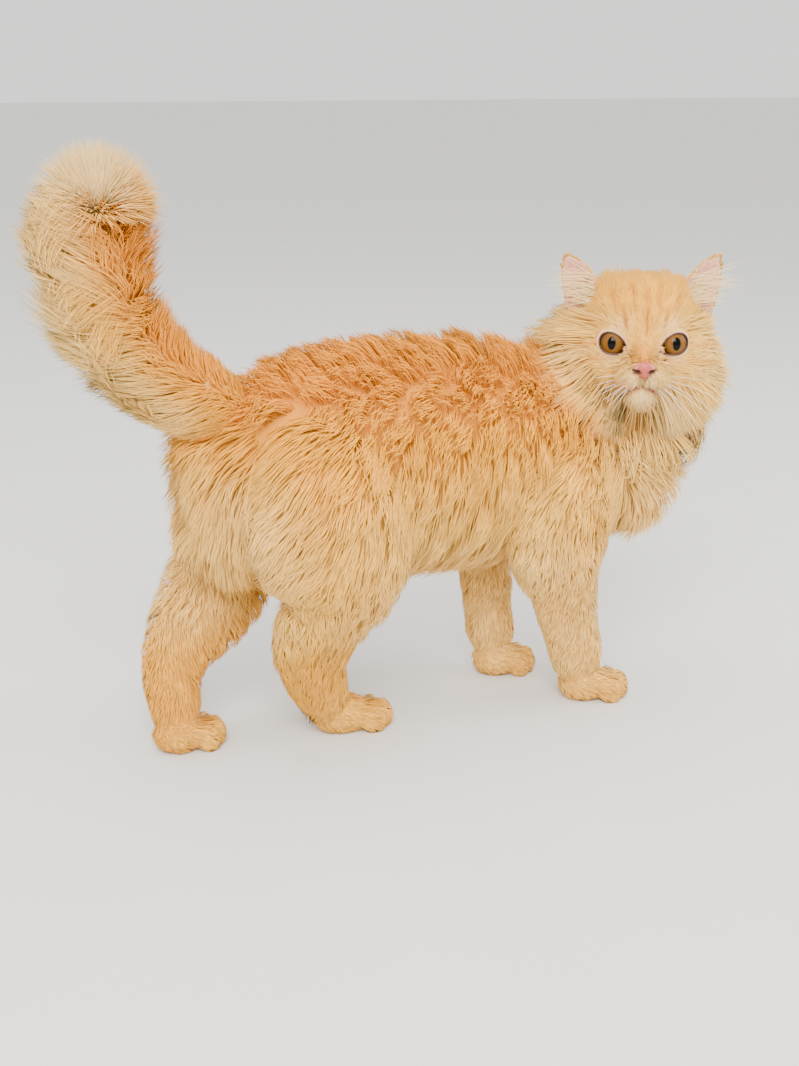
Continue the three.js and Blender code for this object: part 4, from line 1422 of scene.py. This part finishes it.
# The ruff that frames the face: long soft hair that stands out from the cheeks, the jaw and the back
# of the head. Each pair is an angle round the face in degrees, 0 to the cat's left and below 0
# downwards, and how far the hair's ends reach from the middle of the face.
RUFF_EDGE = [
    (-212, 61), (-196, 70), (-180, 80), (-160, 88), (-135, 90), (-112, 84), (-90, 78), (-62, 77),
    (-45, 76), (-32, 74), (-22, 70), (-14, 65), (-2, 60), (13, 56), (32, 52),
]
RUFF_FROM, RUFF_TO = RUFF_EDGE[0][0], RUFF_EDGE[-1][0]
THICKER_RIGHT = (-175, -98)
THICKER_LEFT = (-84, -34)
RUFF_DRAPED = -104
RUFF_COUNT = 7700
RUFF_LOCKS = 860
RUFF_CELL = (0.2, 0.75)
lock_turn = growth.uniform(RUFF_FROM, RUFF_TO, RUFF_LOCKS)
lock_turn[::4] = growth.uniform(*THICKER_RIGHT, len(lock_turn[::4]))
lock_turn[1::6] = growth.uniform(*THICKER_LEFT, len(lock_turn[1::6]))
lock_back = growth.uniform(0.33, 0.78, RUFF_LOCKS)
lock_size = growth.uniform(0.86, 1.05, RUFF_LOCKS)
of_lock = growth.integers(0, RUFF_LOCKS, RUFF_COUNT)
turn = lock_turn[of_lock] + growth.normal(0, 4.5, RUFF_COUNT)
back = lock_back[of_lock] + growth.normal(0, 0.018, RUFF_COUNT)
phi = np.radians(turn)
ruff_root = head.surface(back, phi, 0.6)
ruff_out = head.outward(back, phi)
at_root = from_head(ruff_root)
away = np.hypot(at_root[:, 1], at_root[:, 2])
edge = np.interp(turn, *np.array(RUFF_EDGE).T) * lock_size[of_lock]
edge = edge * growth.uniform(0.94, 1.04, RUFF_COUNT)
edge = np.minimum(edge, away + 24 + 8 * step_up(-turn, 10, 40) + 12 * np.exp(-(((turn + 148) / 28) ** 2)))
end_turn = phi * 0.5 + np.radians(lock_turn[of_lock]) * 0.5 + growth.normal(0, 0.05, RUFF_COUNT)
droop = -5 * np.abs(np.cos(phi))
ruff_end = np.stack([at_root[:, 0] - 10, edge * np.cos(end_turn), edge * np.sin(end_turn) + droop], -1)
ruff_tip = by_head(ruff_end)
clear_of_ears = (at_root[:, 2] < 20) | (at_root[:, 0] < -18)
chosen = np.flatnonzero(clear_of_ears & (ruff_tip[:, 2] > 2))
shade = 1 + growth.normal(0, 0.04, RUFF_LOCKS)[of_lock] + growth.normal(0, 0.05, RUFF_COUNT)
base = towards(head_colour(ruff_root), CREAM, 0.35 + 0.5 * step_up(back, 0.4, 0.55)) * shade[:, None]
# Painted shade at the root of each hair of the ruff, and painted light at its tip.
ruff_colours = np.stack([base * (0.88, 0.8, 0.7), base * (1.04, 1.05, 1.06)], 1)
ruff_uv = in_cell(RUFF_CELL, back, (turn - RUFF_FROM) / (RUFF_TO - RUFF_FROM))
draped = turn[chosen] < RUFF_DRAPED


def over_the_shoulder(path):
    """Lays the ruff's hair beside the shoulder on it instead of in it."""
    flat = path.reshape(-1, 3).copy()
    of_draped = np.repeat(draped, path.shape[1])
    for _ in range(10):
        inside = torso.holds(flat, 0.0) & of_draped
        flat[inside] += HEAD_AXES[0] * 2.6
    return flat.reshape(path.shape)


drawn_hairs(
    "coat_ruff",
    ruff_root[chosen],
    ruff_tip[chosen],
    (ruff_out * 2.2)[chosen],
    ruff_out[chosen],
    growth.uniform(0.7, 1.2, len(chosen)),
    ruff_uv[chosen],
    ruff_colours[chosen],
    clear=over_the_shoulder,
)

# Eyes: amber irises with upright oval pupils, wet and clear in front. Each is a ball that bulges a
# little at the front, and its colours are laid round the way that it looks.
PUPIL_WIDE = 5.5
PUPIL_HIGH = 9.1
PUPIL_BLACK = (0.001, 0.0008, 0.0008, 1)
IRIS_RADIUS = 8.6
FIBRES_PER_MM = 1.6
IRIS_RINGS = ((0.3, "#66461B"), (0.6, "#764E1E"), (0.84, "#5A3A15"), (0.92, "#27140A"), (1.0, "#2A170C"))
eye_surface, tree, out = new_material("wet_amber_eye")
gaze = node(tree, "ShaderNodeAttribute", {"attribute_name": "gaze"})
split = node(tree, "ShaderNodeSeparateXYZ", {}, {"Vector": gaze.outputs["Vector"]})
wide = node(tree, "ShaderNodeMath", {"operation": "DIVIDE", 1: PUPIL_WIDE / 2}, {0: split.outputs["X"]})
tall = node(tree, "ShaderNodeMath", {"operation": "DIVIDE", 1: PUPIL_HIGH / 2}, {0: split.outputs["Y"]})
oval = node(tree, "ShaderNodeCombineXYZ", {}, {"X": wide.outputs[0], "Y": tall.outputs[0]})
oval_far = node(tree, "ShaderNodeVectorMath", {"operation": "LENGTH"}, {0: oval.outputs[0]})
flat = node(tree, "ShaderNodeCombineXYZ", {}, {"X": split.outputs["X"], "Y": split.outputs["Y"]})
far = node(tree, "ShaderNodeVectorMath", {"operation": "LENGTH"}, {0: flat.outputs[0]})
ring = node(tree, "ShaderNodeMath", {"operation": "DIVIDE", 1: IRIS_RADIUS}, {0: far.outputs["Value"]})
iris = node(tree, "ShaderNodeValToRGB", {}, {"Fac": ring.outputs[0]})
ramp = iris.color_ramp.elements
ramp[0].position, ramp[1].position = IRIS_RINGS[0][0], IRIS_RINGS[-1][0]
ramp[0].color, ramp[1].color = ((*srgb(IRIS_RINGS[i][1]), 1) for i in (0, -1))
for position, colour in IRIS_RINGS[1:-1]:
    ramp.new(position).color = (*srgb(colour), 1)
iris_grain = {"Scale": FIBRES_PER_MM, "Detail": 4.0}
fibres = node(tree, "ShaderNodeTexNoise", iris_grain, {"Vector": gaze.outputs["Vector"]})
mottle = node(
    tree,
    "ShaderNodeMixRGB",
    {"blend_type": "OVERLAY", "Fac": 0.45},
    {"Color1": iris.outputs["Color"], "Color2": fibres.outputs["Fac"]},
)
pupil_edge = {"From Min": 0.93, "From Max": 1.08}
dark = node(tree, "ShaderNodeMapRange", pupil_edge, {"Value": oval_far.outputs["Value"]})
pupil = node(
    tree,
    "ShaderNodeMixRGB",
    {"Color1": PUPIL_BLACK},
    {"Fac": dark.outputs[0], "Color2": mottle.outputs["Color"]},
)
wet = node(
    tree,
    "ShaderNodeBsdfPrincipled",
    {"Roughness": 0.05, "IOR": 1.376, "Specular IOR Level": 0.2},
    {"Base Color": pupil.outputs["Color"]},
)
tree.links.new(wet.outputs["BSDF"], out.inputs["Surface"])
for side_name, side in SIDES.items():
    eye, ball = unit_ball(64, 48)
    bulge = 1 + EYE_BULGE * step_up(ball[:, 2], 0.55, 1.0)
    axes = eye_axes(side)
    local = np.stack([ball[:, 2] * bulge, ball[:, 0], ball[:, 1]], -1) * EYE_RADIUS
    set_points(eye, eye_centre(side) + local @ axes)
    if np.linalg.det(axes) < 0:
        only(eye)
        bpy.ops.object.mode_set(mode="EDIT")
        bpy.ops.mesh.select_all(action="SELECT")
        bpy.ops.mesh.normals_make_consistent(inside=False)
        bpy.ops.object.mode_set(mode="OBJECT")
    gaze_at = eye.data.attributes.new("gaze", "FLOAT_VECTOR", "POINT")
    turned = np.stack([ball[:, 0] * EYE_RADIUS, ball[:, 1] * EYE_RADIUS, ball[:, 2]], -1)
    gaze_at.data.foreach_set("vector", turned.astype(np.float32).ravel())
    only(eye)
    bpy.ops.object.shade_smooth()
    eye = finished(eye, f"eyeball_{side_name}")
    eye.data.materials.append(eye_surface)
    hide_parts(f"eye_{side_name}")
    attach(eye, "root")

# The rims of the lids: damp skin, dark where it meets the eyeball and pink where the fur begins.
# Each is a thin round cord along the opening, and a bead of flesh fills the inner corner. The lids
# mottle every 1.1 mm and the flesh every 0.7 mm, given as so many to the metre.
LID_MOTTLE = 900.0
TEAR_MOTTLE = 1500.0
dark_rim = mottled("damp_dark_lid_edge", "#2C1710", "#4A2A1C", LID_MOTTLE, {"Roughness": 0.3})
pink_rim = mottled("pink_lid_skin", "#CC8E76", "#E8B49C", LID_MOTTLE, {"Roughness": 0.5})
tear_flesh = mottled("damp_tear_flesh", "#7A3E34", "#B26E60", TEAR_MOTTLE, {"Roughness": 0.3})


def tube(name, points, radius, closed, material, taper=None):
    """A thin round cord of skin or hair along points in millimetres before the shift."""
    curve = bpy.data.curves.new(name, "CURVE")
    curve.dimensions = "3D"
    spline = curve.splines.new("POLY")
    spline.points.add(len(points) - 1)
    placed = (np.asarray(points) + SHIFT) * MM
    spline.points.foreach_set("co", np.hstack([placed, np.ones((len(placed), 1))]).ravel())
    if taper is not None:
        spline.points.foreach_set("radius", np.asarray(taper, float))
    spline.use_cyclic_u = closed
    curve.bevel_depth = radius * MM
    curve.bevel_resolution = 2
    curve.use_fill_caps = not closed
    piece = bpy.data.objects.new(name, curve)
    bpy.context.collection.objects.link(piece)
    only(piece)
    bpy.ops.object.convert(target="MESH")
    bpy.ops.object.shade_smooth()
    piece = bpy.context.object
    piece.data.materials.append(material)
    return piece


# A rim's share of the opening's outline, its height over the ball, its radius and its skin
RIMS = (("edge", 0.985, 0.35, 0.62, dark_rim), ("lid", 1.07, 0.15, 0.5, pink_rim))
TEAR_CORNER = (-9.2, -4.3)
TEAR_DEEP = 5.6
TEAR_SIZE = (2.4, 2.2, 1.7)
for side_name, side in SIDES.items():
    axes = eye_axes(side)
    for part, grown, off_ball, radius, material in RIMS:
        ring = almond * grown
        depth = np.sqrt(np.maximum((EYE_RADIUS + off_ball) ** 2 - (ring**2).sum(1), 4.0))
        rim_points = eye_centre(side) + np.stack([depth, ring[:, 0], ring[:, 1]], -1) @ axes
        rim = tube(f"{part}_rim_{side_name}", rim_points, radius, True, material)
        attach(rim, "root")
    corner, ball = unit_ball(20, 12)
    flesh_at = ball * TEAR_SIZE + (TEAR_DEEP, *TEAR_CORNER)
    set_points(corner, eye_centre(side) + flesh_at @ axes)
    bpy.ops.object.shade_smooth()
    corner = finished(corner, f"tear_corner_{side_name}")
    corner.data.materials.append(tear_flesh)
    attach(corner, "root")

# The nose: moist pink leather, pebbled every 0.7 mm or 1400 times to the metre, with two dark slits of
# painted shade in its nostrils. It is a copy of its solid, made finer and smoothed, and the slits are
# in its colours.
PEBBLES_PER_METRE = 1400.0
NOSE_PINK = srgb("#BC5648")
NOSE_LOW = srgb("#A2443A")
NOSE_EDGE = srgb("#CF7A66")
NOSE_SLIT_SHADE = srgb("#3B1A14")
nose_skin, tree, out = new_material("pink_nose_leather")
place = node(tree, "ShaderNodeTexCoord")
pebble = node(tree, "ShaderNodeTexVoronoi", {"Scale": PEBBLES_PER_METRE}, {"Vector": place.outputs["Object"]})
grain = {"Strength": 0.25, "Distance": 0.0003}
raised = node(tree, "ShaderNodeBump", grain, {"Height": pebble.outputs["Distance"]})
leather = node(tree, "ShaderNodeAttribute", {"attribute_name": "leather_colour"})
moist = node(
    tree,
    "ShaderNodeBsdfPrincipled",
    {"Roughness": 0.42, "Subsurface Weight": 0.1, "Subsurface Radius": (0.002, 0.001, 0.0006)},
    {"Normal": raised.outputs["Normal"], "Base Color": leather.outputs["Color"]},
)
tree.links.new(moist.outputs["BSDF"], out.inputs["Surface"])


def smoothed_copy(node_name, name, voxel, rounds):
    """A copy of a solid, merged, made finer and smoothed."""
    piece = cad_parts[node_name].copy()
    piece.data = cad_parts[node_name].data.copy()
    piece.parent = None
    for key in list(piece.keys()):
        del piece[key]
    bpy.context.collection.objects.link(piece)
    only(piece)
    bpy.ops.object.mode_set(mode="EDIT")
    bpy.ops.mesh.select_all(action="SELECT")
    bpy.ops.mesh.remove_doubles(threshold=0.00001)
    bpy.ops.object.mode_set(mode="OBJECT")
    run_together(piece, voxel, rounds)
    bpy.ops.object.shade_smooth()
    piece.data.materials.clear()
    return finished(piece, name)


nose = smoothed_copy("nose", "nose_leather", 0.35, 4)
nose.data.materials.append(nose_skin)
_, left, up = from_head(points_of(nose) / MM - SHIFT).T
aside = np.abs(left)
nostril_shade_gap = np.hypot((aside - 6.2) / 3.8, (up + 16.7 - 0.25 * (aside - 6)) / 1.35)
nose_colour = towards(np.repeat(NOSE_PINK[None], len(up), 0), NOSE_LOW, step_up(-up, 17, 21) * 0.6)
nose_colour = towards(nose_colour, NOSE_EDGE, step_up(aside + 0.5 * (up + 16), 5.2, 6.6))
# The nostrils' slits: painted shade.
nose_colour = towards(nose_colour, NOSE_SLIT_SHADE, step_up(-nostril_shade_gap, -1.5, -0.8))
paint(nose.data, "leather_colour", nose_colour)
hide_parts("nose")
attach(nose, "root")

# Ears: thin pink cups of skin, furred outside. They are copies of their solids, made finer and
# smoothed. A little light comes through them, and they flush every 7 mm or 140 times to the metre.
FLUSH_PER_METRE = 140.0
ear_skin, tree, out = new_material("thin_ear_skin")
place = node(tree, "ShaderNodeTexCoord")
flush = {"Scale": FLUSH_PER_METRE, "Detail": 5.0}
veins = node(tree, "ShaderNodeTexNoise", flush, {"Vector": place.outputs["Object"]})
pinks = {"Color1": (*srgb("#E0937C"), 1), "Color2": (*srgb("#F9C6AC"), 1)}
blush = node(tree, "ShaderNodeMixRGB", pinks, {"Fac": veins.outputs["Fac"]})
folds = {"Strength": 0.3, "Distance": 0.0004}
creases = node(tree, "ShaderNodeBump", folds, {"Height": veins.outputs["Fac"]})
see_through = {"Subsurface Weight": 0.2, "Subsurface Radius": (0.004, 0.0015, 0.001)}
ear_shell = node(
    tree,
    "ShaderNodeBsdfPrincipled",
    {"Roughness": 0.65, "Specular IOR Level": 0.2, **see_through},
    {"Base Color": blush.outputs["Color"], "Normal": creases.outputs["Normal"]},
)
tree.links.new(ear_shell.outputs["BSDF"], out.inputs["Surface"])
for side_name in SIDES:
    ear = smoothed_copy(f"ear_{side_name}", f"ear_cup_{side_name}", 0.7, 10)
    ear.data.materials.append(ear_skin)
    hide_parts(f"ear_{side_name}")
    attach(ear, "root")

# Fur of the ears: short and close on their backs and rims, with long pale tufts that grow from the
# inner edge and sweep outward across the opening.
EAR_COUNT = 1900
EAR_CUP_PINK = srgb("#F3C6AE")
EAR_CUP_SHARE = 0.16
TUFT_COUNT = 120
TUFT_LONG = 60
EAR_CELLS = {"left": ((0.4, 0.75), (0.6, 0.75)), "right": ((0.5, 0.75), (0.7, 0.75))}
EAR_CELL_SIZE = (0.08, 0.08)
for side_name, side in SIDES.items():
    fur_cell, tuft_cell = EAR_CELLS[side_name]
    ear = bpy.data.objects[f"ear_cup_{side_name}"]
    ear.data.calc_loop_triangles()
    corners = np.empty(len(ear.data.loop_triangles) * 3, np.int32)
    ear.data.loop_triangles.foreach_get("vertices", corners)
    at = points_of(ear)[corners.reshape(-1, 3)] / MM - SHIFT
    facing = np.cross(at[:, 1] - at[:, 0], at[:, 2] - at[:, 0])
    spread = np.linalg.norm(facing, axis=1) / 2
    facing = unit(facing)
    height = from_head(at.mean(1))[:, 2]
    in_cup = (facing @ HEAD_AXES.T)[:, 0] > 0.15
    odds = spread * np.where(in_cup, EAR_CUP_SHARE, 1.0)
    picked = growth.choice(len(at), EAR_COUNT, p=odds / odds.sum())
    mix = growth.dirichlet((1, 1, 1), EAR_COUNT)
    root = (at[picked] * mix[..., None]).sum(1)
    out_way = facing[picked]
    upward = np.array([0, side * 15, 33]) @ HEAD_AXES
    way = unit(upward + growth.normal(0, 6, (EAR_COUNT, 3)))
    way = unit(way - out_way * (way * out_way).sum(1, keepdims=True) * 0.8)
    lit = unit(out_way * 0.5 + unit(upward) * 0.5 + HEAD_AXES[0] * 0.35)
    long = np.where(in_cup[picked], 2.6, 5.0) * growth.uniform(0.7, 1.2, EAR_COUNT)
    tip = root + way * long[:, None] + out_way * growth.uniform(0.5, 1.3, (EAR_COUNT, 1))
    base = towards(np.repeat(SAND[None], EAR_COUNT, 0), GOLD, growth.uniform(0.2, 0.8, EAR_COUNT))
    base = towards(base, EAR_CUP_PINK, in_cup[picked] * 0.85)
    drawn_hairs(
        f"coat_ear_{side_name}",
        root,
        tip,
        out_way * 0.5,
        lit,
        growth.uniform(0.5, 0.8, EAR_COUNT),
        in_cell(fur_cell, mix[:, 0], (height[picked] - 20) / 45, EAR_CELL_SIZE),
        # Painted shade at each hair's root and painted light at its tip.
        np.stack([base * 0.85, base * 1.05], 1),
        steps=3,
    )

    level_up = growth.uniform(0, 1, TUFT_COUNT) ** 1.3
    long_ones, short_ones = growth.uniform(22, 38, TUFT_COUNT), growth.uniform(6, 17, TUFT_COUNT)
    far = np.where(np.arange(TUFT_COUNT) < TUFT_LONG, long_ones, short_ones)
    forward = growth.uniform(1, 5, TUFT_COUNT)
    outer = side * (27 + 9 * level_up + growth.normal(0, 1.5, TUFT_COUNT))
    start = by_head(np.stack([forward, outer, 22 + 27 * level_up], -1))
    fanned = growth.normal(0.12, 0.2, TUFT_COUNT) - 0.3 * (level_up - 0.5)
    ahead = far * growth.uniform(0, 0.25, TUFT_COUNT)
    run = np.stack([ahead, side * far * np.cos(fanned), far * np.sin(fanned)], -1) @ HEAD_AXES
    pale = np.repeat(IVORY[None], TUFT_COUNT, 0) * growth.uniform(0.95, 1.12, (TUFT_COUNT, 1))
    tuft_uv = in_cell(tuft_cell, level_up, growth.uniform(0, 1, TUFT_COUNT), EAR_CELL_SIZE)
    drawn_hairs(
        f"ear_tufts_{side_name}",
        start,
        start + run,
        np.repeat((np.array([1.6, 0, 1.2]) @ HEAD_AXES)[None], TUFT_COUNT, 0),
        np.repeat(HEAD_AXES[:1], TUFT_COUNT, 0),
        growth.uniform(0.28, 0.5, TUFT_COUNT),
        tuft_uv,
        # Painted shade at each tuft's root.
        np.stack([pale * 0.95, pale], 1),
    )

# Whiskers: stiff white hairs, thick at the root, that droop from the pads of the muzzle and rise
# over the eyes. Each row is a whisker's root, a place that it bends towards and its tip. The two
# radii at the root are in millimetres, and the white wavers every 3 mm.
PAD_WHISKER = 0.17
BROW_WHISKER = 0.09
WHISKER_MOTTLE = 300.0
whisker_white = mottled("stiff_white_whisker", "#F3E9D6", "#FFFBF2", WHISKER_MOTTLE, {"Roughness": 0.3})
WHISKERS = [
    ((37, 12, -20), (26, 44, -22), (8, 70, -34)),
    ((37, 13, -22), (27, 46, -30), (12, 76, -50)),
    ((37, 12, -24), (30, 42, -34), (14, 72, -60)),
    ((38, 14, -25), (31, 40, -40), (22, 68, -66)),
    ((38, 11, -26), (33, 34, -42), (26, 56, -70)),
    ((38, 13, -27), (33, 30, -44), (26, 45, -74)),
    ((38, 9, -27), (34, 24, -42), (28, 34, -66)),
    ((38, 10, -29), (34, 20, -44), (30, 26, -62)),
    ((30, 17, 13), (28, 24, 26), (16, 32, 38)),
    ((29, 20, 12), (24, 32, 22), (10, 46, 30)),
]
for side_name, side in SIDES.items():
    whiskers = []
    for root, middle, tip in WHISKERS:
        root, middle, tip = (np.array(place) * (1, side, 1) for place in (root, middle, tip))
        tip = tip + growth.normal(0, 3, 3)
        t = np.linspace(0, 1, 10)[:, None]
        run = root * (1 - t) ** 2 + 2 * middle * t * (1 - t) + tip * t**2
        radius = PAD_WHISKER if root[2] < 0 else BROW_WHISKER
        taper = 1 - 0.85 * t[:, 0]
        whiskers.append(tube("whisker", by_head(run), radius, False, whisker_white, taper))
    whiskers = finished(joined(whiskers), f"whiskers_{side_name}")
    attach(whiskers, "root")

# The studio's floor: matt pale paint without an edge near the cat, which stands on it. The paint is
# uneven over about 110 mm, 9 times to the metre.
FLOOR_ACROSS = 60
FLOOR_MOTTLE = 9.0
floor_paint = mottled("pale_studio_paint", "#E1E1DF", "#E7E7E5", FLOOR_MOTTLE, {"Roughness": 0.85})
bpy.ops.object.select_all(action="DESELECT")
bpy.ops.mesh.primitive_plane_add(size=FLOOR_ACROSS, location=(0, 0, 0))
floor = bpy.context.object
floor.name = "studio_floor"
floor.data.materials.append(floor_paint)

# Soft studio light: a wide lamp from the front and above, weaker ones from the side and from right
# overhead, and a pale surround.
SURROUND_COLOUR = (1.0, 0.985, 0.965, 1)
SURROUND_STRENGTH = 1.36
world = bpy.data.worlds.new("soft_surround")
bpy.context.scene.world = world
world.use_nodes = True
world.node_tree.nodes["Background"].inputs["Color"].default_value = SURROUND_COLOUR
world.node_tree.nodes["Background"].inputs["Strength"].default_value = SURROUND_STRENGTH


def lamp(name, place, aim, size, power, colour):
    """A square soft lamp that faces a place."""
    bpy.ops.object.light_add(type="AREA", location=place)
    made = bpy.context.object
    made.name = name
    made.data.size = size
    made.data.energy = power
    made.data.color = colour
    back = unit(np.array(place) - np.array(aim))
    made.rotation_euler = Vector(back).to_track_quat("Z", "Y").to_euler()


lamp("key_lamp", (-0.9, -1.6, 1.7), (0, 0, 0.2), 1.2, 84, (1.0, 0.96, 0.9))
lamp("side_lamp", (1.5, -0.9, 1.0), (0, 0, 0.2), 1.2, 16, (1.0, 0.98, 0.96))
lamp("top_lamp", (0.0, 0.2, 2.0), (0, 0, 0.1), 1.6, 20, (1.0, 1.0, 1.0))

# The camera stands where the photo was taken from, a little above the cat and to its right. Its
# axes are its right, its top and the way behind it.
CAMERA_AT = (-0.455, -0.834, 0.440)
CAMERA_AXES = np.array([[0.8829, -0.4695, 0.0], [0.1443, 0.2714, 0.9516], [-0.4467, -0.8402, 0.3074]])
LENS = 47.28
SENSOR_WIDE = 36
bpy.ops.object.camera_add(location=np.array(CAMERA_AT) + SHIFT * MM)
camera = bpy.context.object
camera.name = "camera"
camera.rotation_euler = Matrix(CAMERA_AXES.T.tolist()).to_euler()
camera.data.lens = LENS
camera.data.sensor_width = SENSOR_WIDE
camera.data.sensor_fit = "AUTO"
bpy.context.scene.camera = camera
